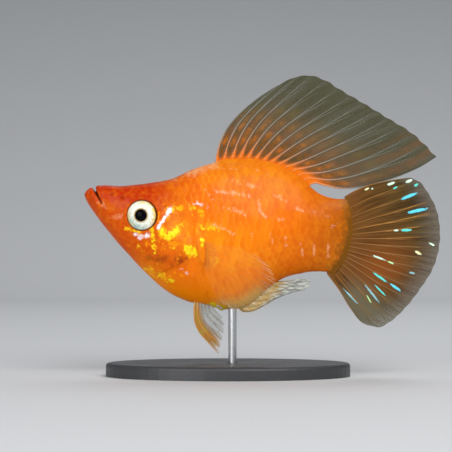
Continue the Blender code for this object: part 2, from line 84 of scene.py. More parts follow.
# Relief in mm: how high a ridge or crease is, how far from its line it peaks, and its width.
LIPS, JAW_CREASE, EYE_RIM = (0.16, 0.75, 0.45), (-0.06, 0, 0.18), (0.1, 0.35, 0.25)
GILL_SWELL, GILL_HOLLOW, GILL_STEP = (0.13, 0, 2.4), (-0.03, 0.4, 0.8), 0.01
CHEEK_FOLD, CHEEK_CREASE = (0.05, 0.6, 0.4), (-0.07, 0, 0.22)
VENT, SAIL_SHEATH, FIN_ARM = (0.35, 0, 0.55), (0.22, 0, 0.55), (0.4, 0, 0.7)
NOSTRIL_DEPTH, NOSTRIL_RIM, NOSTRIL_RIM_WIDTH, UNEVENNESS = 0.35, 0.05, 0.14, 0.04
SLIT_HALF, SLIT_DEPTH = (0.26, 0.13), (0.85, 0.4)
SCALE_LENGTH, SCALE_ROWS, SCALE_RELIEF, SCALE_BOW, SCALE_REACH = 1.08, 20, 0.032, 0.75, 0.92
SCALES_START, SCALES_END, SCALES_WEAKEN = (-13, -3), (19.5, 22), (6, 15)
SHADE_ALONG, SHADE_ACROSS, SHADE_SWING = 12.9898, 78.233, 43758.5


def through(stations, at):
    """Cubic pieces through (place, value ...) stations; the slope at each is the mean of its two sides'."""
    table = np.array(stations, float)
    knots, values = table[:, 0], table[:, 1:]
    at = np.clip(np.asarray(at, float), knots[0], knots[-1])
    step = np.diff(knots)[:, None]
    rise = np.diff(values, axis=0) / step
    inner = (rise[:-1] * step[1:] + rise[1:] * step[:-1]) / (step[:-1] + step[1:])
    slope = np.concatenate([rise[:1], inner, rise[-1:]])
    i = np.clip(np.searchsorted(knots, at, side="right") - 1, 0, len(knots) - 2)
    t = ((at - knots[i]) / step[i, 0])[..., None]
    near, far, run = (1 - t) ** 2, t**2, step[i]
    read = values[i] * (1 + 2 * t) * near + slope[i] * run * t * near
    read = read + values[i + 1] * far * (3 - 2 * t) + slope[i + 1] * run * far * (t - 1)
    return read[..., 0] if values.shape[1] == 1 else read


def along(points, share):
    """A smooth line through points, read at shares of its length."""
    points = np.array(points, float)
    length = np.concatenate([[0], np.cumsum(np.linalg.norm(np.diff(points, axis=0), axis=1))])
    return through(np.column_stack([length / length[-1], points]), share)


def ease(low, high, value):
    """0 below low, 1 above high and 3t² - 2t³ between, with t the share of the way."""
    t = np.clip((value - low) / (high - low), 0, 1)
    return t * t * (3 - 2 * t)


def bell(distance, width):
    """A soft bump: e to the power of minus (distance / width) squared."""
    return np.exp(-((distance / width) ** 2))


def ridge(distance, height, off, width):
    """A raised or sunk line: height times the bell of the distance less off."""
    return height * bell(distance - off, width)


def to_line(x, z, line):
    """Distance of (x, z) to a line of straight pieces, its share of the line, and +1 where it lies behind."""
    line = np.array(line, float)
    best, share, side = np.full(x.shape, 1e9), np.zeros(x.shape), np.zeros(x.shape)
    for i, (start, end) in enumerate(zip(line[:-1], line[1:])):
        run = end - start
        t = np.clip(((x - start[0]) * run[0] + (z - start[1]) * run[1]) / (run @ run), 0, 1)
        away_x, away_z = x - start[0] - t * run[0], z - start[1] - t * run[1]
        away = np.hypot(away_x, away_z)
        closer = away < best
        share = np.where(closer, (i + t) / (len(line) - 1), share)
        side = np.where(closer, np.sign(away_z * run[0] - away_x * run[1]), side)
        best = np.where(closer, away, best)
    return best, share, side


def stalk_end(z):
    """Where the stalk ends at height z: the tail fin's root line, and the overlap behind it."""
    return through([(root_z, root_x) for root_x, root_z in TAIL_ROOT[::-1]], z) + TAIL_OVERLAP


def flesh(x, turn):
    """Section at x: y = w·cos t·k and z = widest + reach·sin t·k, with k = (|cos t|^n + |sin t|^n)^(-1/n)."""
    cosine, sine = np.cos(turn), np.sin(turn)
    tip = np.sqrt(1 - (1 - np.clip((x - SNOUT_X) / TIP_ROUNDING, 0, 1)) ** 2)
    widest = through(WIDEST_AT, x)
    reach = np.where(sine >= 0, through(BACK, x) - widest, widest - through(BELLY, x)) * tip
    power = np.where(sine >= 0, through(UPPER_ROUNDNESS, x), through(LOWER_ROUNDNESS, x))
    k = (np.abs(cosine) ** power + np.abs(sine) ** power) ** (-1 / power)
    y, z = through(HALF_WIDTH, x) * tip * cosine * k, widest + reach * sine * k
    squeeze = (stalk_end(z) - TAIL_BENDS_FROM) / (STALK_X - TAIL_BENDS_FROM)
    x = np.where(x > TAIL_BENDS_FROM, TAIL_BENDS_FROM + (x - TAIL_BENDS_FROM) * squeeze, x)
    return np.stack([x, y, z], axis=-1)


def unit(vectors):
    """The vectors at length 1."""
    return vectors / np.maximum(np.linalg.norm(vectors, axis=-1, keepdims=True), 1e-9)


def turns(count):
    """Evenly spaced angles once round a circle."""
    return np.arange(count) * 2 * math.pi / count


def outward(points):
    """Unit normals of a grid that closes round its second axis: the cross product of its two directions."""
    round_it = np.roll(points, -1, axis=1) - np.roll(points, 1, axis=1)
    return unit(np.cross(round_it, np.gradient(points, axis=0)))


def scales(s, t):
    """Height, nearness to the rear edge and own shade of overlapping scales, from s along and t across rows.

    In each of the two nearest rows a ramp climbs to the scale's bowed rear edge; the higher ramp shows. A
    scale's shade is the loose digits of a large sine of its number in the row and of its row.
    """
    height, edge, shade = np.zeros(s.shape), np.zeros(s.shape), np.zeros(s.shape)
    for row in (np.floor(t), np.floor(t) + 1):
        off = t - row
        place = s - 0.5 * (row % 2) + SCALE_BOW * off**2
        ramp = place % 1
        lift = ramp * np.sqrt(np.clip(1 - (off / SCALE_REACH) ** 2, 0, 1))
        edge = np.where(lift > height, ramp, edge)
        loose = SHADE_SWING * np.sin(SHADE_ALONG * np.floor(place) + SHADE_ACROSS * row)
        shade = np.where(lift > height, loose % 1, shade)
        height = np.maximum(height, lift)
    return height, edge, shade


def piece(name, points, faces, masks=None, place=None):
    """A smooth mesh from points in mm, with named masks at its points and, if told, a map of place."""
    mesh = bpy.data.meshes.new(name)
    mesh.from_pydata((np.reshape(points, (-1, 3)) * MM).tolist(), [], faces)
    for label, values in (masks or {}).items():
        layer = mesh.attributes.new(label, "FLOAT", "POINT")
        layer.data.foreach_set("value", np.ravel(values).astype(np.float32))
    if place is not None:
        corner = np.zeros(len(mesh.loops), np.int32)
        mesh.loops.foreach_get("vertex_index", corner)
        spread = mesh.uv_layers.new(name="Along")
        spread.data.foreach_set("uv", place[corner].astype(np.float32).ravel())
    mesh.shade_smooth()
    made = bpy.data.objects.new(name, mesh)
    scene.collection.objects.link(made)
    return made


def tube_faces(rings, around, first=0):
    """Four-sided faces between rings of points, and a face over each end."""
    ring, point = first + np.arange(rings - 1)[:, None] * around, np.arange(around)
    after = (point + 1) % around
    sides = np.stack([ring + point, ring + after, ring + around + after, ring + around + point], -1)
    last = first + (rings - 1) * around
    return sides.reshape(-1, 4).tolist() + [(first + point)[::-1].tolist(), (last + point).tolist()]


open_finish = {}


def plugged(owner, sources):
    """Links each named socket of the owner, or sets a constant on it.

    A text stands for the mask that a mesh carries under this name, and a colour gets its fourth value.
    """
    for key, value in sources.items():
        socket = owner.inputs[key.replace("_", " ") if isinstance(key, str) else key]
        if isinstance(value, str):
            value = node("ShaderNodeAttribute", "Fac", {"attribute_name": value})
        if isinstance(value, bpy.types.NodeSocket):
            open_finish["tree"].links.new(value, socket)
        else:
            socket.default_value = (*value, 1) if socket.type == "RGBA" else value


def finish_named(name, **sockets):
    """Opens a new material with these sockets set: the nodes made from here on go into it."""
    made = bpy.data.materials.new(name)
    made.use_nodes = True
    open_finish.update(tree=made.node_tree, shader=made.node_tree.nodes["Principled BSDF"])
    worn(**sockets)
    return made


def worn(**sources):
    """Links or sets the open material's shader by the names of its sockets."""
    plugged(open_finish["shader"], sources)


def node(kind, output=0, settings=None, inputs=None, **named):
    """Adds a shader node, links or sets its inputs, and gives back one of its outputs."""
    made = open_finish["tree"].nodes.new(kind)
    for key, value in (settings or {}).items():
        setattr(made, key, value)
    plugged(made, inputs or named)
    return made.outputs[output]


def noise(size_mm, detail=3, vector=None):
    """Cloudy noise of about this grain, over Object coordinates unless told otherwise."""
    if vector is None:
        vector = node("ShaderNodeTexCoord", "Object")
    return node("ShaderNodeTexNoise", "Fac", Scale=1 / (size_mm * MM), Detail=detail, Vector=vector)


def worked(operation, a, b, held=False):
    """The operation on a and b, held between 0 and 1 if told."""
    return node("ShaderNodeMath", 0, {"operation": operation, "use_clamp": held}, {0: a, 1: b})


def product(a, b):
    """a times b, held between 0 and 1."""
    return worked("MULTIPLY", a, b, True)


def span(value, low, high, to_low=0, to_high=1):
    """Stretches value from low..high to to_low..to_high and holds it there."""
    return node("ShaderNodeMapRange", Value=value, From_Min=low, From_Max=high, To_Min=to_low, To_Max=to_high)


def blended(tone, *layers):
    """The colour tone, with each layer's colour laid on it in turn by the layer's share."""
    for share, over in layers:
        tone = node("ShaderNodeMix", 2, {"data_type": "RGBA"}, {0: share, 6: tone, 7: over})
    return tone


def bumped(height, depth_mm):
    """Raises the surface's shading by height, up to depth_mm."""
    worn(Normal=node("ShaderNodeBump", "Normal", Height=height, Distance=depth_mm * MM))


grid_x, grid_turn = np.meshgrid(RINGS, turns(RING_POINTS), indexing="ij")
skin = flesh(grid_x, grid_turn)
skin_normal = outward(skin)
x, y, z = np.moveaxis(skin, -1, 0)

slit, slit_share, _ = to_line(x, z, MOUTH_LINE)
slit_half, slit_depth = (np.interp(slit_share, (0, 1), ends) for ends in (SLIT_HALF, SLIT_DEPTH))
mouth = -slit_depth * (1 - ease(slit_half * 0.5, slit_half * 1.5, slit))
eye_away = np.hypot(x - EYE_AT[0], z - EYE_AT[1])
eye_bowl = -EYE_BOWL_DEPTH * (1 - ease(EYE_OPENING - 0.15, EYE_OPENING + 0.12, eye_away))
gill, gill_share, gill_side = to_line(x, z, GILL_LINE)
gill_fade = ease(0.05, 0.45, gill_share) * (1 - ease(0.8, 1, gill_share))
gill_cover = np.where(gill_side < 0, ridge(gill, *GILL_SWELL) - GILL_STEP, ridge(gill, *GILL_HOLLOW))
cheek, cheek_share, _ = to_line(x, z, CHEEK_LINE)
cheek_folds = ridge(cheek, *CHEEK_FOLD) + ridge(cheek, *CHEEK_CREASE)
nostrils = np.zeros(x.shape)
for at_x, at_z, radius in NOSTRILS:
    away = np.hypot(x - at_x, z - at_z)
    nostrils += ridge(away, -NOSTRIL_DEPTH, 0, radius)
    nostrils += ridge(away, NOSTRIL_RIM, 1.8 * radius, NOSTRIL_RIM_WIDTH)
scaled = ease(*SCALES_START, x + 0.35 * (z - 26)) * (1 - ease(*SCALES_END, x))
scaled *= (1 - 0.5 * ease(*SCALES_WEAKEN, x)) * (1 - 0.8 * bell(eye_away, 3.4))
scaled *= 1 - 0.6 * gill_fade * bell(gill, 0.6)
row_at = np.arcsin(np.clip(np.sin(grid_turn), -1, 1)) / math.pi * SCALE_ROWS
scale_height, scale_edge, scale_shade = scales(x / SCALE_LENGTH, row_at)
lift = mouth + eye_bowl + nostrils + gill_fade * gill_cover + (1 - ease(0.6, 0.95, cheek_share)) * cheek_folds
lift += ridge(slit, *LIPS) + ridge(to_line(x, z, JAW_LINE)[0], *JAW_CREASE)
lift += ridge(eye_away - EYE_OPENING, *EYE_RIM) + ridge(to_line(x, z, FIN_ARM_LINE)[0], *FIN_ARM)
lift += ridge(np.hypot(x - VENT_X, y), *VENT) * (z < 14)
lift += ridge(y, *SAIL_SHEATH) * ease(*SHEATH_START, x) * (1 - ease(*SHEATH_END, x)) * (z > 30)
lift += UNEVENNESS * np.sin(x * 0.9 + z * 0.4) * np.sin(z * 0.7 - x * 0.3) * ease(-24, -20, x)
lift += SCALE_RELIEF * scaled * (scale_height - 0.5)
skin_points = skin + skin_normal * lift[..., None]
skin_points[..., 0] = np.maximum(skin_points[..., 0], SNOUT_X)

# Marks in the skin: for each colour its strokes, as the points of a line, a width and a strength.
MARKS = {
    "brick": ((((-14.2, 21.2), (-11, 20.6), (-8.2, 21.2)), 1.4, 1),),
    # The breast mark is partly the breast's own bright orange and partly painted light: it lightens the
    # underside, which faces down and gets less light.
    "breast": ((((-15.5, 17.5), (-10, 13.8), (-4, 12)), 3.2, 1),),
    "pale": ((((-0.9, 12.2), (2.4, 12.6), (5.6, 14.6)), 1.6, 0.95),),
    "gold": (
        (((-11.8, 25.8), (-10.6, 25.2), (-9.2, 26)), 0.85, 0.95),
        (((-9.6, 27), (-8, 27.4)), 0.6, 0.45), (((-7.2, 22.9), (-6.2, 22.2)), 0.85, 1.1),
        (((-4.6, 24.7), (-4.5, 23.6)), 0.4, 1), (((-5.8, 26.2), (-3.8, 26.9), (-1.8, 26.6)), 0.85, 0.44),
        (((-13.7, 26.7), (-13.3, 25)), 0.42, 0.85), (((-13.4, 24.2), (-13.2, 22.4)), 0.6, 0.62),
        (((-15.8, 25.8), (-18.2, 26.6)), 0.42, 0.55),
        (((-14.6, 19.2), (-11.8, 18), (-10, 17.2)), 0.8, 0.48),
        (((-10.8, 30), (-8.4, 30.2)), 0.75, 0.46), (((-6.6, 30.4), (-4.6, 29.2)), 0.9, 0.4),
        (((-3.6, 21.6), (-2.2, 20.8)), 0.9, 0.36), (((-16, 23.6), (-15.2, 22.4)), 0.6, 0.42),
        (((-11.2, 23.4), (-9.8, 23)), 0.6, 0.35),
        (((-2.9, 13), (-1.8, 12.4), (-0.9, 12.2)), 0.6, 1.1),
    ),
    "silver": (
        (((-10.3, 30), (-10.9, 29.1)), 0.46, 1.5),
        (((-10.9, 29.1), (-11.8, 27.6), (-12.4, 26.8)), 0.36, 1.35),
        (((-16.6, 25.6), (-15.4, 24.9), (-14.4, 25.3)), 0.55, 0.8),
        (((-5.7, 31), (-4.7, 30.6), (-3.7, 31)), 0.48, 0.8), (((-8.6, 19.3), (-6.6, 18.4)), 0.42, 0.7),
        (((-1.9, 12.6), (-1.1, 12.2)), 0.4, 0.9), (((19.6, 27.4), (18.5, 26.2)), 0.36, 0.55),
    ),
    "blush": (
        (((-2, 33.3), (0.6, 32.8), (3.8, 32.4)), 0.5, 0.72),
        (((-0.5, 30.3), (1.6, 29.8), (3.4, 28.9)), 0.45, 0.66),
        (((-2.6, 27.1), (-0.8, 26.6), (0.9, 25.7)), 0.45, 0.72),
        (((5.6, 31.7), (5.7, 29.4), (6.7, 28.6)), 0.42, 0.72), (((9, 28), (9.7, 28.1)), 0.42, 0.7),
        (((12.2, 30.3), (13.3, 29.7)), 0.42, 0.7), (((13, 23.8), (13.4, 21.6)), 0.34, 0.66),
        (((15.3, 23.6), (15.4, 21.8)), 0.34, 0.72), (((17.9, 23.6), (17.9, 21.7)), 0.34, 0.66),
        (((7.6, 25.6), (8, 24)), 0.34, 0.55), (((10.2, 25), (10.4, 23.4)), 0.34, 0.55),
        (((4, 26), (4.4, 24.4)), 0.34, 0.45), (((1, 34.8), (3, 34.6), (5, 33.8)), 0.6, 0.5),
        (((8.4, 32.6), (10.6, 31.4)), 0.5, 0.5), (((-20.4, 28.7), (-19.2, 28.7)), 0.9, 0.5),
        (((-23, 31.2), (-21.8, 30.2)), 0.6, 0.45), (((-4.6, 33.6), (-2.6, 31.6)), 0.5, 0.5),
        (((15.6, 29.4), (18.4, 28.6)), 0.5, 0.45),
    ),
    "rose": (
        (((-9.8, 35.4), (-7, 36.4)), 1.5, 0.65), (((-7, 36.6), (-4.6, 37.5), (-2.4, 38.1)), 1.1, 1.3),
        (((-1.6, 37.6), (3.6, 37.6), (7.4, 35.9)), 0.8, 0.5), (((-6.6, 35.6), (-7.6, 33.4)), 0.5, 0.35),
        (((-24.9, 33.4), (-25.3, 32.6)), 0.4, 0.45),
    ),
}
# Oval pools of colour: the centre, how much longer than high, the width and the strength.
GILT_POOLS = ((-10, 25.5, 1.2, 5.5, 1), (-10.5, 17.5, 1, 3, 0.8))
GLOW_POOLS = ((0.5, 23, 1.4, 5, 1), (-9.5, 27, 1, 3, 0.8))
ORANGE, AMBER, TAN = (0.84, 0.15, 0.001), (0.95, 0.29, 0.002), (0.78, 0.25, 0.01)
EMBER, UMBER, BRONZE = (0.9, 0.125, 0.001), (0.42, 0.09, 0.002), (0.3, 0.085, 0.004)
BROWN, RED, BRICK = (0.19, 0.07, 0.004), (0.5, 0.027, 0.001), (0.52, 0.056, 0.001)
# The second colour on the next line is painted shade for the mouth slit, the nostril pits and the eye's bowl.
DARK_BRICK, RECESS_SHADE, YELLOW = (0.36, 0.046, 0.002), (0.05, 0.006, 0.001), (1, 0.3, 0.002)
HONEY, LIGHT_SCALE, DARK_SCALE = (0.95, 0.27, 0.004), (1, 0.34, 0.008), (0.66, 0.1, 0.001)
SCALE_RIM, ROSE, PALE, BLUSH = (1, 0.38, 0.03), (0.85, 0.4, 0.17), (0.82, 0.48, 0.12), (0.98, 0.52, 0.28)
DEEP_GOLD, GOLD, SILVER = (1, 0.44, 0.004), (1, 0.74, 0.01), (1, 0.93, 0.96)


def strokes(x, z, lines):
    """The strongest of several painted strokes: each a bell of the distance to its line, by its strength."""
    return np.max([strength * bell(to_line(x, z, line)[0], width) for line, width, strength in lines], axis=0)


def pools(x, z, rounds):
    """The strongest of several pools: each a bell of the distance to its centre, by its strength."""
    found = [s * bell(np.hypot((x - a) / long, z - b), width) for a, b, long, width, s in rounds]
    return np.max(found, axis=0)


to_tail = stalk_end(z) - x
brow = ease(27, 33, z + 0.25 * (x + 16))
skin_masks = {label: strokes(x, z, lines) for label, lines in MARKS.items()}
skin_masks["blush"] *= 1 - 0.55 * scaled * (1 - ease(0.1, 0.55, scale_edge))
skin_masks |= {
    "red": (1 - ease(-15.5, -3, x + 0.3 * (32 - z))) * (0.55 + 0.45 * brow),
    "gilt": pools(x, z, GILT_POOLS), "glow": pools(x, z, GLOW_POOLS),
    "tan": ease(0.35, 0.9, np.sin(grid_turn)) * ease(-7, -1, x) * (1 - ease(8, 18, x)),
    "dusk": ease(8, 22, x - 0.2 * (z - 25)),
    "edge": scaled * ease(0.55, 0.98, scale_edge),
    "light_scale": scaled * scale_shade**2, "dark_scale": scaled * (1 - scale_shade) ** 2,
    "root": 1.7 * (1 - ease(0.4, 4.4, to_tail)), "foot": 1.8 * (1 - ease(0.3, 2.4, to_tail)),
    # The shade mask is painted shade: it darkens the mouth slit, the nostril pits and the eye's bowl by their
    # depth.
    "shade": np.clip(-1.6 * mouth - 0.9 * nostrils, 0, 1) + np.clip(-eye_bowl, 0, 1) * 0.9,
}
fish_skin = piece("fish_skin", skin_points, tube_faces(*x.shape), skin_masks)


def ragged(density, size_mm, soft):
    """Patches with torn edges: they show where the density is above cloudy noise of this grain."""
    gap = worked("SUBTRACT", density, span(noise(size_mm, 2.5), 0.3, 0.68))
    return span(gap, 0, soft)


wet_skin = finish_named("wet_skin", IOR=1.34, Specular_IOR_Level=0.12, Coat_Weight=0.07, Coat_Roughness=0.1)
edge_share = product("edge", span(noise(2.6, 3), 0.42, 0.66, 0.04, 0.3))
blush_share = product(ragged(span("blush", 0, 0.62), 0.7, 0.8), 0.55)
round_gold = ragged(product(span("gold", 0, 0.5), 0.9), 1, 0.6)
tone = blended(
    ORANGE,
    ("glow", AMBER),
    (product("tan", 0.7), TAN),
    (product(span(noise(3.5), 0.35, 0.75), 0.5), EMBER),
    ("dusk", UMBER),
    (ragged("root", 0.8, 0.7), BRONZE),
    ("red", RED),
    (product("brick", 0.6), BRICK),
    (ragged(product("brick", 0.8), 1.5, 0.7), DARK_BRICK),
    # The breast's own bright orange, lightened further as painted light on the downward-facing underside.
    (product("breast", 0.8), YELLOW),
    (product(span(noise(0.9, 4), 0.45, 0.72), 0.3), HONEY),
    (product("light_scale", 0.28), LIGHT_SCALE),
    (product("dark_scale", 0.28), DARK_SCALE),
    (edge_share, SCALE_RIM),
    (ragged(product("gilt", 0.55), 1.1, 0.3), YELLOW),
    (product(ragged("rose", 0.9, 1.2), 0.9), ROSE),
    ("pale", PALE),
    (blush_share, BLUSH),
    (round_gold, DEEP_GOLD),
    (ragged("gold", 0.55, 0.3), GOLD),
    (ragged("silver", 0.8, 0.6), SILVER),
    (ragged("foot", 0.7, 0.8), BROWN),
    # Painted shade in the mouth slit, the nostril pits and the eye's bowl.
    ("shade", RECESS_SHADE),
)
gloss = span(noise(0.7), 0.3, 0.7, 0.26, 0.44)
worn(Base_Color=tone, Metallic=product("gold", 0.25), Roughness=gloss)
bumped(noise(0.3, 4), 0.01)
fish_skin.data.materials.append(wet_skin)
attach(fish_skin, "root")
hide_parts("head", "lower_jaw", "torso", "tail_stalk")

# Eyes. Each is a wet ball set in the side of the head, turned a little forward with the cheek: a silver iris
# round a black pupil that bulges a little, with a thin gold ring between them and a dark rim outside.
EYE_RADIUS, EYE_HALF_DEPTH, EYE_SIDE, EYE_TURN = 2.85, 1.25, 3.8, math.radians(10)
PUPIL_RADIUS, PUPIL_RINGS, IRIS_RINGS, EYE_POINTS, FIRST_TILT, LAST_TILT = 1.08, 24, 72, 72, 0.001, 2.4
LENS_RAISE, LENS_GROOVE, IRIS_SWELL = 0.13, (-0.05, 0, 0.1), (0.04, 1.9, 0.5)
IRIS_SILVER, IRIS_GREY, IRIS_SHADE_BLUE = (1, 1, 0.88), (0.78, 0.81, 0.66), (0.16, 0.38, 0.34)
IRIS_GOLD, IRIS_INNER, IRIS_RIM = (0.85, 0.58, 0.03), (0.34, 0.2, 0.03), (0.1, 0.035, 0.008)
PUPIL_BLACK, SIDES = (0.002, 0.002, 0.003), ((-1, "left"), (1, "right"))


def eyeball(tilt, turn):
    """Half a ball: out = R·sin, forward = D·cos of the tilt, with a lens swelling inside the pupil's edge."""
    out = EYE_RADIUS * np.sin(tilt)
    forward = EYE_HALF_DEPTH * np.cos(tilt) + LENS_RAISE * (1 - ease(0, PUPIL_RADIUS, out)) ** 0.5
    forward = forward + ridge(out - PUPIL_RADIUS, *LENS_GROOVE) + ridge(out, *IRIS_SWELL)
    return np.stack([out * np.cos(turn), forward, out * np.sin(turn)], -1)


def eye_masks(tilt, turn):
    """The ring from the middle out, a bluish painted shade low in front, and warm lights above and at both
    ends.
    """
    ring = np.sin(tilt)
    # The lower front of the iris, where a bluish painted shade lies.
    below = ease(0.2, 1, -np.cos(turn) * 0.6 - np.sin(turn) * 0.8)
    above = 0.8 * ease(0.5, 1, np.sin(turn + 0.5)) + 0.7 * ease(0.7, 1, -np.cos(turn - 0.3))
    return {
        "ring": np.sin(np.minimum(tilt, math.pi / 2)), "iris_shade": 0.8 * below * ease(0.42, 0.75, ring),
        "warm": np.minimum(above + ease(0.6, 1, np.cos(turn)), 1) * ease(0.6, 0.9, ring),
    }


eye_finish = finish_named("silver_iris", Roughness=0.28, IOR=1.33, Coat_Weight=0.4, Coat_Roughness=0.03)
worn(Base_Color=blended(
    IRIS_SILVER,
    (span(noise(0.35, 5), 0.38, 0.62), IRIS_GREY),
    # Bluish painted shade on the lower front of the iris.
    (product("iris_shade", span(noise(0.6, 5), 0.3, 0.6)), IRIS_SHADE_BLUE),
    (product("warm", span(noise(0.5, 5), 0.3, 0.55)), IRIS_GOLD),
    (product(span("ring", 0.36, 0.38), span("ring", 0.5, 0.41)), IRIS_INNER),
    (span("ring", 0.86, 0.935), IRIS_RIM),
))
pupil_finish = finish_named("black_pupil", Base_Color=PUPIL_BLACK, Roughness=0.12, IOR=1.33)
worn(Specular_IOR_Level=0.08)
pupil_edge = math.asin(PUPIL_RADIUS / EYE_RADIUS)
PARTS_OF_EYE = (
    ("pupil", pupil_finish, FIRST_TILT, pupil_edge, PUPIL_RINGS),
    ("iris", eye_finish, pupil_edge, LAST_TILT, IRIS_RINGS),
)
for side, hand in SIDES:
    for name, finish, first, last, rings in PARTS_OF_EYE:
        tilt, turn = np.meshgrid(np.linspace(first, last, rings), turns(EYE_POINTS), indexing="ij")
        back, forward, up = np.moveaxis(eyeball(tilt, turn), -1, 0)
        cosine, sine = math.cos(EYE_TURN), math.sin(EYE_TURN)
        out = side * (forward * cosine + back * sine + EYE_SIDE)
        ball = np.stack([back * cosine - forward * sine + EYE_AT[0], out, up + EYE_AT[1]], -1)
        faces = tube_faces(*tilt.shape)
        if side < 0:
            faces = [f[::-1] for f in faces]
        part = piece(f"{name}_{hand}", ball, faces, eye_masks(tilt, turn))
        part.data.materials.append(finish)
        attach(part, "root")
        if name == "iris":
            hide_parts(f"eye_{hand}")

# Sail. The tall dorsal fin is a thin smoky membrane on fourteen jointed rays that fork towards their tips.
# Its front edge curves back from the nape and its last rays reach over the tail, leaning a little right.
DORSAL_ROOT_X = (-2.2, 14)
DORSAL_FRONT = ((-2.2, 37.6), (-2, 39.4), (-1.5, 41.6), (0, 44.8), (2.2, 47.3), (5.4, 50), (8.6, 52.1))
DORSAL_REAR = (
    (14, 33.9), (15.5, 34.8), (17.3, 34.4), (20.3, 33.8), (23.7, 34), (27.4, 34.9),
    (31.1, 36.1), (35.1, 37.9), (37.8, 39.6),
)
DORSAL_MARGIN = (
    (8.6, 52.1), (11.7, 53.7), (14.9, 54.2), (17.5, 53.4), (20.6, 51.5), (24.4, 49.3),
    (29.2, 46.4), (33.3, 43.9), (36.2, 41.3), (37.8, 39.6),
)
EVEN_FAN, EDGE_HOLD = ((0, 0), (1, 1)), (0.7, 2.5)
RAY_SIDES, RAY_END, JOINT_SWELL, MEMBRANE_END, RIPPLE = 6, 0.978, 0.13, 0.995, 0.015
DORSAL_RAYS, SAIL_LEAN, SAIL_SUNK, SAIL_HEIGHT = 14, 1.7, 1, 22
# Rows of dashes: how far up they start, how long they are and how strong.
DASH_ROWS = ((5.4, 0.8, 1), (7.6, 0.9, 0.9), (10, 1, 0.7), (12.6, 1.2, 0.5))
SAIL_NEAR, SAIL_FAR, SAIL_SMOKE = (0.115, 0.058, 0.006), (0.074, 0.07, 0.026), (0.045, 0.038, 0.012)
SAIL_WARM, DASH_NEAR, DASH_FAR = (0.2, 0.072, 0.004), (0.52, 0.135, 0.003), (0.17, 0.13, 0.01)
SAIL_FOOT, SAIL_RAY_NEAR = (0.82, 0.17, 0.001), (0.88, 0.24, 0.004)
SAIL_RAY_FAR, SAIL_JOINT = (0.25, 0.25, 0.21), (0.38, 0.39, 0.33)


def fin_sheet(root, margin, front, rear, lean, fan=EVEN_FAN, hold=EDGE_HOLD):
    """A fin's middle surface as a function of place across it and share along its rays.

    Straight rays join root to margin. Each takes on the bend of the front and the rear edge, faded across
    the fin by powers of its place, and lean gives the sideways offset.
    """

    def at(place, share):
        start, end = along(root, through(fan, place)), along(margin, place)
        up = share[..., None]
        made = (1 - up) * start + up * end
        for edge, weight in ((front, (1 - place) ** hold[0]), (rear, place ** hold[1])):
            chord = (1 - up) * np.array(edge[0]) + up * np.array(edge[-1])
            made = made + weight[..., None] * (along(edge, share) - chord)
        away = np.linalg.norm(made - start, axis=-1)
        return np.stack([made[..., 0], lean(place, share, away), made[..., 1]], axis=-1)

    return at


def membrane(name, at, rays, masks_of, rows, between, half, scallop):
    """A closed sheet along a fin's middle surface: half is its thickness each way at the root.

    It has ripples between the rays and a margin that draws in there by the scallop's share.
    """
    columns = (rays - 1) * between + 1
    share, place = np.meshgrid(np.linspace(0, 1, rows), np.linspace(0, 1, columns), indexing="ij")
    hollow = np.sin(math.pi * place * (rays - 1)) ** 2
    share = share * (MEMBRANE_END - scallop * hollow)
    middle = at(place, share)
    normal = unit(np.cross(np.gradient(middle, axis=1), np.gradient(middle, axis=0)))
    ripple = RIPPLE * np.sin(2 * math.pi * place * (rays - 1)) * ease(0.1, 0.6, share)
    thick = half * (1 - 0.4 * share) * (1 - 0.35 * hollow)
    sides = [middle + normal * (ripple + thick * way)[..., None] for way in (1, -1)]
    corner = (np.arange(rows - 1)[:, None] * columns + np.arange(columns - 1)).ravel()
    top = np.stack([corner, corner + columns, corner + columns + 1, corner + 1], 1)[:, ::-1]
    count = rows * columns
    edge = np.concatenate([
        np.arange(columns), np.arange(1, rows) * columns + columns - 1,
        count - 2 - np.arange(columns - 1), np.arange(rows - 2, 0, -1) * columns,
    ])
    after = np.roll(edge, -1)
    rim = np.stack([edge, edge + count, after + count, after], 1)
    faces = np.concatenate([top, top[:, ::-1] + count, rim]).tolist()
    masks = {k: np.concatenate([np.ravel(v)] * 2) for k, v in masks_of(place, share, hollow).items()}
    spread = np.tile(np.stack([place, share], -1).reshape(-1, 2), (2, 1))
    return piece(name, np.concatenate([s.reshape(-1, 3) for s in sides]), faces, masks, spread)


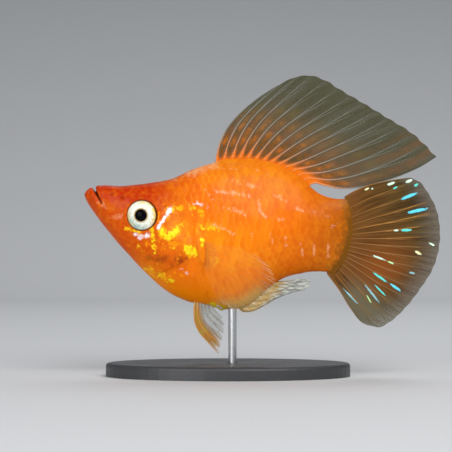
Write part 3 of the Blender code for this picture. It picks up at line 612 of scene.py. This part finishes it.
def fin_rays(name, at, rays, rows, radius, joint_mm, forks, spread=0.26, taper=0.72):
    """Jointed tubes along a fin's rays. Each ray is one strand to the first fork, two to the next, then four.

    A strand's ring is its centre plus r·cos·across - r·sin·out; r falls towards the tip and swells between
    joints. Strands keep apart by shares of the space between two rays. Without forks a ray stays one strand.
    """
    points, faces, shares, turn = [], [], [], turns(RAY_SIDES)
    for ray in range(rays):
        strands = [(0, 0, 0)]
        if forks and ray not in (0, rays - 1):
            strands = [(0, -1, -1), (forks[0], 1, -1), (forks[1], -1, 1), (forks[1], 1, 1)]
        for start, one, two in strands:
            count = max(6, int(rows * (1 - start)))
            share = np.linspace(start, RAY_END, count)
            apart = 0 * share
            if one:
                apart = one * spread * ease(forks[0], 1.15, share)
                apart += two * 0.5 * spread * ease(forks[1], 1.2, share)
            place = np.clip((ray + apart) / (rays - 1), 0, 1)
            centre = at(place, share)
            side = at(np.clip(place + 0.004, 0, 1), share) - at(np.clip(place - 0.004, 0, 1), share)
            way = np.gradient(centre, axis=0)
            out = unit(np.cross(side, way))
            side = unit(np.cross(way, out))
            run = np.concatenate([[0], np.cumsum(np.linalg.norm(np.diff(centre, axis=0), axis=1))])
            beat = np.cos(2 * math.pi * run / joint_mm)
            size = radius * (1 - taper * share) * (1 - JOINT_SWELL * beat) * (0.8 if start else 1)
            size[-1] *= 0.3
            ring = side[:, None] * np.cos(turn)[:, None] - out[:, None] * np.sin(turn)[:, None]
            points.append((centre[:, None] + size[:, None, None] * ring).reshape(-1, 3))
            faces += tube_faces(count, RAY_SIDES, sum(s.shape[1] for s in shares))
            shares.append(np.repeat([0.5 - 0.5 * beat, share, place], RAY_SIDES, axis=1))
    masks = dict(zip(("joint", "reach", "place"), np.concatenate(shares, axis=1)))
    return piece(name, np.concatenate(points), faces, masks)


def mounted(made, finish, slot_name, *nodes):
    """Gives a fin's piece its finish, and puts it on the fish in place of its node. The slot name is not
    used.
    """
    made.data.materials.append(finish)
    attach(made, "root")
    if nodes:
        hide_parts(*nodes)


def sail_lean(place, share, away):
    """The last rays lean right, by the cube of their place and a root of the share along them."""
    return SAIL_LEAN * place**3 * share**0.7


def sail_masks(place, share, hollow):
    """Orange tongues up the rays' feet, and rows of dashes between the rays that fade outwards."""
    gap = np.floor(np.clip(place, 0, 0.9999) * (DORSAL_RAYS - 1)).astype(int)
    draw = np.random.default_rng(11).uniform(0, 1, (DORSAL_RAYS, 6))[gap]
    away = share * SAIL_HEIGHT
    tongue = 2.3 + (1.6 + 2.4 * draw[..., 0]) * (1 - hollow) ** 1.5 + 2.6 * ease(0.45, 1, place)
    dash = np.zeros(place.shape)
    for row, (start, long, strength) in enumerate(DASH_ROWS):
        centre = start + 1.4 * (draw[..., 1 + row] - 0.5)
        shows = strength * (draw[..., 5 - row] > 0.15)
        dash = np.maximum(dash, shows * bell(away - centre, long) * hollow**1.5)
    warm = (1 - ease(0.25, 0.72, share)) * (0.75 + 0.25 * hollow)
    warm = np.maximum(warm, 0.8 * ease(0.7, 0.95, place) * hollow)
    return {"foot": 1 - ease(0.45 * tongue, tongue, away), "dash": dash, "warm": warm, "reach": share}


def fin_finish(name, near, far, grain_across, grain_along, smoke_share, smoke):
    """A thin clear skin, near its tint at the root and far at the margin, with smoke along the rays."""
    made = finish_named(name, Roughness=0.35, IOR=1.38, Specular_IOR_Level=0.2)
    map_at = node("ShaderNodeUVMap", 0, {"uv_map": "Along"})
    drawn = node("ShaderNodeMapping", Vector=map_at, Scale=(grain_across, grain_along, 1))
    streak = node("ShaderNodeTexNoise", "Fac", Vector=drawn, Scale=1, Detail=4)
    smoky = product(span(streak, 0.4, 0.7), smoke_share)
    return made, blended(near, (span("reach", 0.05, 0.8), far), (smoky, smoke)), streak


dorsal_x = np.linspace(*DORSAL_ROOT_X, 9)
dorsal_root = np.column_stack([dorsal_x, through(BACK, dorsal_x) - SAIL_SUNK])
dorsal_root[0], dorsal_root[-1] = DORSAL_FRONT[0], DORSAL_REAR[0]
sail_at = fin_sheet(dorsal_root, DORSAL_MARGIN, DORSAL_FRONT, DORSAL_REAR, sail_lean)
sail_finish, tone, streak = fin_finish(
    "sail_membrane", SAIL_NEAR, SAIL_FAR, grain_across=30, grain_along=2, smoke_share=0.35, smoke=SAIL_SMOKE
)
dash_tint = blended(DASH_NEAR, (span("reach", 0.22, 0.6), DASH_FAR))
tone = blended(
    tone,
    (product("warm", span(noise(1.1), 0.3, 0.55)), SAIL_WARM),
    (product("dash", span(noise(0.6), 0.3, 0.5)), dash_tint),
    ("foot", SAIL_FOOT),
)
veil = span(streak, 0.3, 0.7, 0.62, 0.76)
for label, least in (("warm", 0.84), ("dash", 0.92), ("foot", 0.97)):
    veil = worked("MAXIMUM", veil, product(label, least))
worn(Base_Color=tone, Alpha=veil)
sail = membrane("sail_skin", sail_at, DORSAL_RAYS, sail_masks, rows=120, between=12, half=0.06, scallop=0.008)
mounted(sail, sail_finish, "sail_membrane", "dorsal_fin")
ray_finish = finish_named("sail_ray", Roughness=0.3, IOR=1.5)
tone = blended(SAIL_RAY_NEAR, (span("reach", 0.1, 0.36), SAIL_RAY_FAR), (product("joint", 0.25), SAIL_JOINT))
worn(Base_Color=tone, Alpha=span("reach", 0.35, 1, 0.92, 0.42))
rays = fin_rays("sail_rays", sail_at, DORSAL_RAYS, rows=110, radius=0.17, joint_mm=0.7, forks=(0.42, 0.72))
mounted(rays, ray_finish, "sail_membrane")

# Tail fin. Its rays fan out from the stalk in a round paddle whose lower lobe hangs lower. The membrane is
# brown and smoky, and along the rays lie rows of orange beads and flecks that shine green and blue.
TAIL_TOP = ((22.7, 33.2), (24.8, 34.1), (29.5, 35.2), (32.9, 35.7))
TAIL_FOOT = ((20.2, 15.3), (22.1, 12.2), (24.6, 9.4), (25.8, 9))
TAIL_MARGIN = (
    (32.9, 35.7), (34.6, 34.9), (35.9, 33.2), (37.6, 29.9), (38.2, 26.6), (38.1, 23.3),
    (37, 19.4), (34.8, 15.8), (32, 12.2), (29, 9.5), (27.4, 8.7), (25.8, 9),
)
TAIL_FAN = ((0, 0), (0.09, 0.22), (0.18, 0.36), (0.29, 0.46), (0.54, 0.63), (0.84, 0.82), (1, 1))
TAIL_HOLD, TAIL_RAYS, TAIL_LEAN_LEFT, TAIL_LEAN_RIGHT = (5, 5), 17, 0.9, 0.45
TAIL_NEAR, TAIL_FAR, TAIL_SMOKE = (0.21, 0.07, 0.003), (0.105, 0.066, 0.01), (0.035, 0.014, 0.002)
TAIL_RUST, TAIL_GREY, TAIL_RAY_NEAR = (0.36, 0.078, 0.003), (0.17, 0.16, 0.1), (0.26, 0.08, 0.004)
TAIL_RAY_MIDDLE, TAIL_RAY_FAR = (0.34, 0.15, 0.02), (0.2, 0.14, 0.04)
TAIL_JOINT, BEAD = (0.2, 0.08, 0.01), (1, 0.42, 0.06)
# Rows of beads on the rays: the points of a line, its width and its strength.
BEADS = (
    (((31.7, 31.5), (33.5, 32.1)), 0.4, 1), (((29.5, 29.9), (35.3, 31.1)), 0.45, 0.9),
    (((30.6, 28.5), (35.8, 29.2)), 0.6, 1), (((29, 27.1), (33.4, 27.3)), 0.75, 1.1),
    (((29, 25.5), (32.4, 25.4)), 0.75, 1), (((24.6, 27.2), (27, 27.2)), 0.7, 0.6),
)


def tail_lean(place, share, away):
    """From left at the top to right at the foot, of which 1 - e^(-5·share) is reached along a ray."""
    at_tip = TAIL_LEAN_RIGHT - (TAIL_LEAN_LEFT + TAIL_LEAN_RIGHT) * (1 - place) ** 0.8
    return at_tip * (1 - np.exp(-5 * share))


def tail_masks(place, share, hollow):
    """Brown flesh at the root, rust in the middle of the fan, a greyer lower lobe and a thin clear margin."""
    return {
        "root": 1 - ease(0.02, 0.26, share), "reach": share, "margin": ease(0.68, 1, share),
        "rust": bell(place - 0.62, 0.2) * bell(share - 0.5, 0.28),
        "grey": ease(0.74, 0.92, place) * ease(0.15, 0.5, share),
    }


tail_root = np.array(TAIL_ROOT) - (TAIL_OVERLAP, 0)
tail_top = (tuple(tail_root[0]), *TAIL_TOP)
tail_foot = (tuple(tail_root[-1]), *TAIL_FOOT)
tail_at = fin_sheet(tail_root, TAIL_MARGIN, tail_top, tail_foot, tail_lean, TAIL_FAN, TAIL_HOLD)
tail_finish, tone, streak = fin_finish(
    "tail_membrane", TAIL_NEAR, TAIL_FAR, grain_across=64, grain_along=2, smoke_share=0.95, smoke=TAIL_SMOKE
)
tone = blended(tone, (product("rust", 0.6), TAIL_RUST), (product("grey", 0.65), TAIL_GREY), ("root", BROWN))
veil = worked("MULTIPLY", span(streak, 0.3, 0.7, 0.8, 0.94), span("margin", 0, 1, 1, 0.58))
worn(Base_Color=tone, Alpha=worked("MAXIMUM", veil, "root"))
tail = membrane("tail_skin", tail_at, TAIL_RAYS, tail_masks, rows=110, between=10, half=0.07, scallop=0.006)
mounted(tail, tail_finish, "tail_membrane", "caudal_fin")
rays = fin_rays(
    "tail_rays", tail_at, TAIL_RAYS, rows=130, radius=0.12, joint_mm=0.41, forks=(0.26, 0.55),
    spread=0.27, taper=0.5,
)
points = np.empty(len(rays.data.vertices) * 3)
rays.data.vertices.foreach_get("co", points)
points = points.reshape(-1, 3) / MM
beaded = rays.data.attributes.new("beaded", "FLOAT", "POINT")
beaded.data.foreach_set("value", strokes(points[:, 0], points[:, 2], BEADS).astype(np.float32))
bead_finish = finish_named("tail_ray", Roughness=0.3, IOR=1.5)
tone = blended(
    TAIL_RAY_NEAR,
    (span("reach", 0.02, 0.3), TAIL_RAY_MIDDLE),
    (span("reach", 0.5, 1), TAIL_RAY_FAR),
    (product("joint", 0.25), TAIL_JOINT),
    (product(span("joint", 0.3, 0.7), "beaded"), BEAD),
)
worn(Base_Color=tone, Alpha=span("reach", 0.6, 1, 0.9, 0.35))
mounted(rays, bead_finish, "tail_membrane")

# Flecks. Small long plates of shining cells lie along the tail's rays on both faces, pale green near the top,
# turquoise in the middle and grey-blue in the lower lobe.
GREEN, TEAL, SKY = (0.5, 0.92, 0.36), (0.04, 0.74, 0.62), (0.04, 0.72, 0.95)
ICE, GREY_BLUE, CREAM = (0.74, 1, 0.74), (0.22, 0.48, 0.52), (0.95, 0.92, 0.45)
FLECKS = (
    ((24.5, 33.4), (25.4, 33.9), 0.42, CREAM), ((25.7, 33.6), (26.1, 33.8), 0.34, ICE),
    ((28.5, 34.3), (30.1, 34.9), 0.6, ICE), ((29.6, 33.6), (30.5, 34.1), 0.42, TEAL),
    ((31.8, 34.8), (33.2, 35.3), 0.62, ICE), ((33.4, 34.1), (34.2, 34.6), 0.55, TEAL),
    ((30.8, 31.7), (34.2, 33), 0.68, SKY), ((32, 29.3), (36, 30.2), 0.7, SKY),
    ((29.7, 26.2), (30.8, 26.2), 0.42, ICE), ((30.9, 26.2), (33.2, 26.3), 0.58, TEAL),
    ((36.1, 24), (37.2, 23.4), 0.46, ICE), ((33.5, 22.6), (34.8, 21.8), 0.58, CREAM),
    ((25.8, 21.8), (28.4, 20.8), 0.38, ICE), ((28.6, 20.7), (30, 20.1), 0.38, GREEN),
    ((32.5, 18.7), (33.7, 18.4), 0.46, GREY_BLUE), ((26, 18.7), (28.9, 16.7), 0.5, TEAL),
    ((29, 16.7), (31.3, 15.2), 0.54, SKY), ((24.4, 16.7), (27.4, 13), 0.48, GREY_BLUE),
    ((26.3, 16.5), (28.6, 14.2), 0.36, TEAL), ((20.7, 15.8), (23.6, 12.7), 0.4, GREY_BLUE),
    ((24.9, 14.7), (25.9, 12.9), 0.28, GREEN),
)
FLECK_LIFT, FLECK_HALF, FLECK_TIP, FLECK_RINGS, FLECK_POINTS = 0.09, 0.07, 0.08, 13, 10
FLECK_SHEEN = (0.85, 0.97, 0.92)


def fleck_plates(lines, sheet):
    """Flat grains on a sphere's grid: along·cos·half length + across·sin·cos·half width.

    Sideways each point keeps off the sheet's nearest point by a set lift and bulges by sin·sin·thickness.
    """
    rows = np.linspace(FLECK_TIP, math.pi - FLECK_TIP, FLECK_RINGS)
    tilt, turn = np.meshgrid(rows, turns(FLECK_POINTS), indexing="ij")
    rim = np.hypot(np.cos(tilt), np.sin(tilt) * np.cos(turn))
    points, faces, tints, first = [], [], [], 0
    for start, end, width, tint in lines:
        start, end = np.array((start, end))
        middle, half = (start + end) / 2, (end - start) / 2
        long = np.linalg.norm(half)
        heading = half / long
        a, b = long * np.cos(tilt), 0.5 * width * np.sin(tilt) * np.cos(turn)
        x, z = middle[0] + a * heading[0] - b * heading[1], middle[1] + a * heading[1] + b * heading[0]
        away = (x.reshape(-1, 1) - sheet[:, 0]) ** 2 + (z.reshape(-1, 1) - sheet[:, 2]) ** 2
        y = sheet[np.argmin(away, axis=1), 1].reshape(x.shape)
        for side in (-1, 1):
            bulge = side * FLECK_LIFT + FLECK_HALF * np.sin(tilt) * np.sin(turn)
            points.append(np.stack([x, y + bulge, z], -1).reshape(-1, 3))
            faces += tube_faces(*tilt.shape, first)
            tints.append(np.tile(tint, (tilt.size, 1)))
            first += tilt.size
    rims = np.tile(rim.ravel(), first // tilt.size)
    made = piece("tail_flecks", np.concatenate(points), faces, {"rim": rims})
    layer = made.data.attributes.new("tint", "FLOAT_COLOR", "POINT")
    tints = np.column_stack([np.concatenate(tints), np.ones(first)])
    layer.data.foreach_set("color", tints.astype(np.float32).ravel())
    return made


sheet_share, sheet_place = np.meshgrid(np.linspace(0, 1, 160), np.linspace(0, 1, 240))
flecks = fleck_plates(FLECKS, tail_at(sheet_place, sheet_share).reshape(-1, 3))
fleck_finish = finish_named("shining_fleck", Roughness=0.25, IOR=1.4, Specular_IOR_Level=0.3)
tint = node("ShaderNodeAttribute", "Color", {"attribute_name": "tint"})
torn = worked("ADD", product(noise(0.3), 0.9), span("rim", 0, 1, 1, 0))
tone = blended(tint, (product(noise(0.3), 0.25), FLECK_SHEEN))
worn(Base_Color=tone, Alpha=span(torn, 0.52, 0.72))
mounted(flecks, fleck_finish, "tail_membrane")

# Gonopodium. The male's anal fin is folded into a slim rod of a few close rays that lies back under the
# stalk. It is silvery, with a yellowish skin where it leaves the belly. ANAL_LINES holds its root, its
# margin, its front edge and its rear edge, as the lines of the fins below do.
ANAL_LINES = (
    ((1.8, 13.6), (4.2, 14.8), (6.9, 17)),
    ((14.2, 15.8), (14.8, 16.3), (14.9, 17)),
    ((1.8, 13.6), (2.5, 12.1), (4.2, 11.9), (6.5, 13), (9.9, 14.7), (14.2, 15.8)),
    ((6.9, 17), (8.6, 16.7), (10.8, 16.9), (13.5, 17.2), (14.9, 17)),
)
ANAL_RAYS = 5
ANAL_YELLOW, ANAL_GREY, ANAL_SHINE = (0.42, 0.26, 0.05), (0.24, 0.25, 0.22), (0.6, 0.62, 0.57)


def in_plane(place, share, away):
    """A fin in the fish's own middle plane."""
    return 0 * away


def plain_masks(place, share, hollow):
    """Only where the membrane lies: its place across the fin and its share along the rays."""
    return {"reach": share, "place": place}


anal_at = fin_sheet(*ANAL_LINES, in_plane)
anal_finish = finish_named("silver_fin", Roughness=0.3, IOR=1.45, Coat_Weight=0.3, Coat_Roughness=0.1)
coords = node("ShaderNodeTexCoord", "Object")
drawn = node("ShaderNodeMapping", Vector=coords, Rotation=(0, 0.35, 0), Scale=(0.22, 1, 1))
shine = product(span(noise(0.3, 4, drawn), 0.46, 0.62), span("reach", 0.2, 0.6, 0.25, 1))
tone = blended(ANAL_YELLOW, (span("reach", 0.25, 0.6), ANAL_GREY), (shine, ANAL_SHINE))
worn(Base_Color=tone)
bumped(noise(0.3, 3, drawn), 0.02)
anal = membrane("gonopodium_skin", anal_at, ANAL_RAYS, plain_masks, rows=70, between=10, half=0.42, scallop=0)
mounted(anal, anal_finish, "pale_membrane", "gonopodium")
rays = fin_rays(
    "gonopodium_rays", anal_at, ANAL_RAYS, rows=80, radius=0.4, joint_mm=4, forks=(), spread=0, taper=0.5
)
mounted(rays, anal_finish, "pale_membrane")

# Pectoral fins. One on each side leaves the flank behind the gill cover and is held out and back. Its
# membrane is almost clear, so the pale rays show, close together, down to their tips below the belly.
PECTORAL_LINES = (
    ((-5, 24.3), (-4.6, 22.6), (-4.3, 20.9)),
    ((6.1, 21.2), (8, 18.9), (8.6, 16.4), (7.8, 13.4), (5.4, 11.6), (2.2, 11.5), (-0.4, 13)),
    ((-5, 24.3), (-1.5, 23.7), (2.5, 22.8), (6.1, 21.2)),
    ((-4.3, 20.9), (-3.6, 18), (-2.3, 15.3), (-0.4, 13)),
)
# How a fin is held out: where its root lies to the side, how far it rises there, and its spread.
PECTORAL_RAYS, PECTORAL_HELD, RISE_WITHIN = 12, (4.9, 1.7, 0.33), 0.8
CLEAR_NEAR, CLEAR_FAR = (0.9, 0.28, 0.02), (0.7, 0.45, 0.2)
CLEAR_RAY_NEAR, CLEAR_RAY_FAR = (0.9, 0.32, 0.03), (0.74, 0.66, 0.48)


def held_out(side, root_y, rise, spread):
    """Leaves the flank steeply, then spreads: y = side·(root + rise·(1 - e^(-away/within)) + spread·away)."""

    def lean(place, share, away):
        return side * (root_y + rise * (1 - np.exp(-away / RISE_WITHIN)) + spread * away)

    return lean


clear_finish = finish_named("clear_membrane", Roughness=0.3, IOR=1.38)
tone = blended(CLEAR_NEAR, (span("reach", 0, 0.5), CLEAR_FAR))
worn(Base_Color=tone, Alpha=span("reach", 0, 0.25, 0.2, 0.02))
clear_ray = finish_named("clear_ray", Roughness=0.3, IOR=1.5)
tone = blended(CLEAR_RAY_NEAR, (span("reach", 0.5, 0.85), CLEAR_RAY_FAR))
root_alpha, tip_alpha = span("reach", 0, 0.25, 0.4, 0.03), span("reach", 0.76, 1, 0, 0.34)
worn(Base_Color=tone, Alpha=worked("MAXIMUM", root_alpha, tip_alpha))


def fin_pair(name, lines, held, rays, skin, threads, finishes, slot_name):
    """A fin's membrane and rays on each side, from its lines, how it is held out and its sizes."""
    for side, hand in SIDES:
        at = fin_sheet(*lines, held_out(side, *held))
        made = membrane(f"{name}_skin_{hand}", at, rays, plain_masks, **skin)
        mounted(made, finishes[0], slot_name, f"{name}_fin_{hand}")
        mounted(fin_rays(f"{name}_rays_{hand}", at, rays, **threads), finishes[1], slot_name)


fin_pair(
    "pectoral", PECTORAL_LINES, PECTORAL_HELD, PECTORAL_RAYS,
    dict(rows=50, between=6, half=0.05, scallop=0.03),
    dict(rows=60, radius=0.09, joint_mm=0.5, forks=(0.45, 0.75)),
    (clear_finish, clear_ray), "pale_membrane",
)

# Pelvic fins. The pair hangs from the breast, each of six rays that grow longer towards the front. The
# front half of the membrane is orange, and the rest is grey and almost clear.
PELVIC_LINES = (
    ((-6, 14.2), (-4.8, 14.1), (-3.6, 14)),
    ((-1.6, 4), (-1.3, 5.4), (-0.8, 7.2), (-0.6, 9), (-1, 10.5)),
    ((-6, 14.2), (-6.1, 11.8), (-5.9, 9.7), (-5.1, 7.9), (-3.8, 6.4), (-1.6, 4)),
    ((-3.6, 14), (-2.7, 12.2), (-1.8, 11.2), (-1, 10.5)),
)
PELVIC_RAYS, PELVIC_HELD = 6, (1, 0.2, 0.12)
PELVIC_ORANGE, PELVIC_OLIVE, PELVIC_GREY = (0.46, 0.16, 0.01), (0.36, 0.24, 0.03), (0.34, 0.34, 0.3)
PELVIC_RAY_ROOT, PELVIC_RAY, PELVIC_RAY_GREY = (0.78, 0.58, 0.36), (0.62, 0.26, 0.02), (0.52, 0.52, 0.46)

pelvic_finish = finish_named("pelvic_membrane", Roughness=0.32, IOR=1.38)
front = span("place", 0.26, 0.44, 1, 0)
warm = blended(PELVIC_ORANGE, (span(noise(0.8), 0.35, 0.65), PELVIC_OLIVE))
tone = blended(PELVIC_GREY, (front, warm))
front = product(product(front, span("reach", 0.62, 0.92, 1, 0.15)), 0.88)
veil = worked("MAXIMUM", span("reach", 0, 0.5, 0.55, 0.12), front)
worn(Base_Color=tone, Alpha=veil)
pelvic_ray = finish_named("pelvic_ray", Roughness=0.3, IOR=1.5)
front = span("place", 0.3, 0.5, 1, 0)
warm = blended(PELVIC_RAY_ROOT, (span("reach", 0.05, 0.25), PELVIC_RAY))
veil = worked("MAXIMUM", span("reach", 0.1, 0.8, 0.8, 0.3), product(front, 0.95))
worn(Base_Color=blended(PELVIC_RAY_GREY, (front, warm)), Alpha=veil)
fin_pair(
    "pelvic", PELVIC_LINES, PELVIC_HELD, PELVIC_RAYS,
    dict(rows=60, between=10, half=0.05, scallop=0.1),
    dict(rows=70, radius=0.12, joint_mm=0.5, forks=(0.35, 0.65)),
    (pelvic_finish, pelvic_ray), "pelvic_membrane",
)

# Stand. An oval base of satin charcoal plastic lies flat, and a brushed steel rod stands in it and runs up
# into the belly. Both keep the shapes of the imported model.
CHARCOAL, CHARCOAL_WORN, STEEL, STEEL_LIT = (
    (0.03, 0.031, 0.034), (0.052, 0.053, 0.056), (0.5, 0.51, 0.52), (0.66, 0.67, 0.68),
)
base_finish = finish_named("satin_charcoal", IOR=1.5)
fine = noise(0.5, 5)
gloss = span(noise(6, 4), 0.3, 0.7, 0.34, 0.48)
worn(Base_Color=blended(CHARCOAL, (fine, CHARCOAL_WORN)), Roughness=gloss)
bumped(fine, 0.015)
rod_finish = finish_named("brushed_steel", Metallic=1, IOR=1.5)
coords = node("ShaderNodeTexCoord", "Object")
drawn = node("ShaderNodeMapping", Vector=coords, Scale=(1, 1, 0.04))
brushed = node("ShaderNodeTexNoise", "Fac", Vector=drawn, Scale=9000, Detail=3)
gloss = span(brushed, 0.3, 0.7, 0.22, 0.38)
worn(Base_Color=blended(STEEL, (brushed, STEEL_LIT)), Roughness=gloss)
for name, finish in (("stand_base", base_finish), ("stand_rod", rod_finish)):
    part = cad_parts[name]
    part.data.materials.clear()
    part.data.materials.append(finish)

# Studio. A pale sweep of card is floor and backdrop in one, lit by a large soft lamp from high on the right,
# a weaker one from the left and one behind. The camera looks level at the fish's left side.
VIEW_CENTRE, VIEW_WIDTH, VIEW_FROM, SENSOR = (-0.36 * MM, 27 * MM), 81.36 * MM, 0.4, 36
SWEEP_START, SWEEP_BEND, SWEEP_RADIUS, SWEEP_TOP, SWEEP_HALF, SWEEP_RUNS = -0.9, 0.4, 0.2, 1.3, 1.4, 181
CARD_LOW, CARD_HIGH, CARD_BLEND = (0.66, 0.67, 0.68), (0.38, 0.39, 0.4), 0.15
SKY, SKY_STRENGTH = (0.92, 0.95, 1, 1), 0.3
# Lamps: name, place in metres, watts and size.
LAMPS = (
    ("key", (0.2, -0.44, 0.4), 2.45, 0.4), ("fill", (-0.28, -0.46, 0.1), 1.3, 0.3),
    ("rim", (0.1, 0.3, 0.42), 0.7, 0.3),
)


def sweep(across, run):
    """Flat to the bend, a quarter circle up, then straight up: y and z by the length run along it."""
    turn = np.clip((run - SWEEP_BEND) / SWEEP_RADIUS, 0, math.pi / 2)
    up = np.maximum(run - SWEEP_BEND - SWEEP_RADIUS * math.pi / 2, 0)
    depth = np.minimum(run, SWEEP_BEND) + SWEEP_RADIUS * np.sin(turn)
    return np.stack([across, depth, SWEEP_RADIUS * (1 - np.cos(turn)) + up], -1) / MM


runs, sides = np.linspace(SWEEP_START, SWEEP_TOP, SWEEP_RUNS), np.linspace(-SWEEP_HALF, SWEEP_HALF, 3)
run, across = np.meshgrid(runs, sides, indexing="ij")
corner = (np.arange(SWEEP_RUNS - 1)[:, None] * 3 + np.arange(2)).ravel()
faces = np.stack([corner, corner + 1, corner + 4, corner + 3], 1).tolist()
backdrop = piece("backdrop", sweep(across, run), faces)
card = finish_named("pale_card", Roughness=0.9)
height = node("ShaderNodeSeparateXYZ", "Z", Vector=node("ShaderNodeTexCoord", "Object"))
worn(Base_Color=blended(CARD_LOW, (span(height, 0, CARD_BLEND), CARD_HIGH)))
backdrop.data.materials.append(card)

world = bpy.data.worlds.new("studio")
scene.world = world
world.use_nodes = True
light = world.node_tree.nodes["Background"].inputs
light["Color"].default_value, light["Strength"].default_value = SKY, SKY_STRENGTH
for name, place, watts, size in LAMPS:
    lamp = bpy.data.lights.new(name, "AREA")
    lamp.energy, lamp.size = watts, size
    holder = bpy.data.objects.new(name, lamp)
    scene.collection.objects.link(holder)
    holder.location = place
    aim = Vector((0, 0, 0.027)) - holder.location
    holder.rotation_euler = aim.to_track_quat("-Z", "Y").to_euler()
view = bpy.data.cameras.new("view")
view.lens, view.sensor_width = SENSOR * VIEW_FROM / VIEW_WIDTH, SENSOR
view.clip_start = 0.01
camera = bpy.data.objects.new("view", view)
scene.collection.objects.link(camera)
camera.location = (VIEW_CENTRE[0], -VIEW_FROM, VIEW_CENTRE[1])
camera.rotation_euler = (math.pi / 2, 0, 0)
scene.camera = camera
scene.view_settings.view_transform = "Standard"
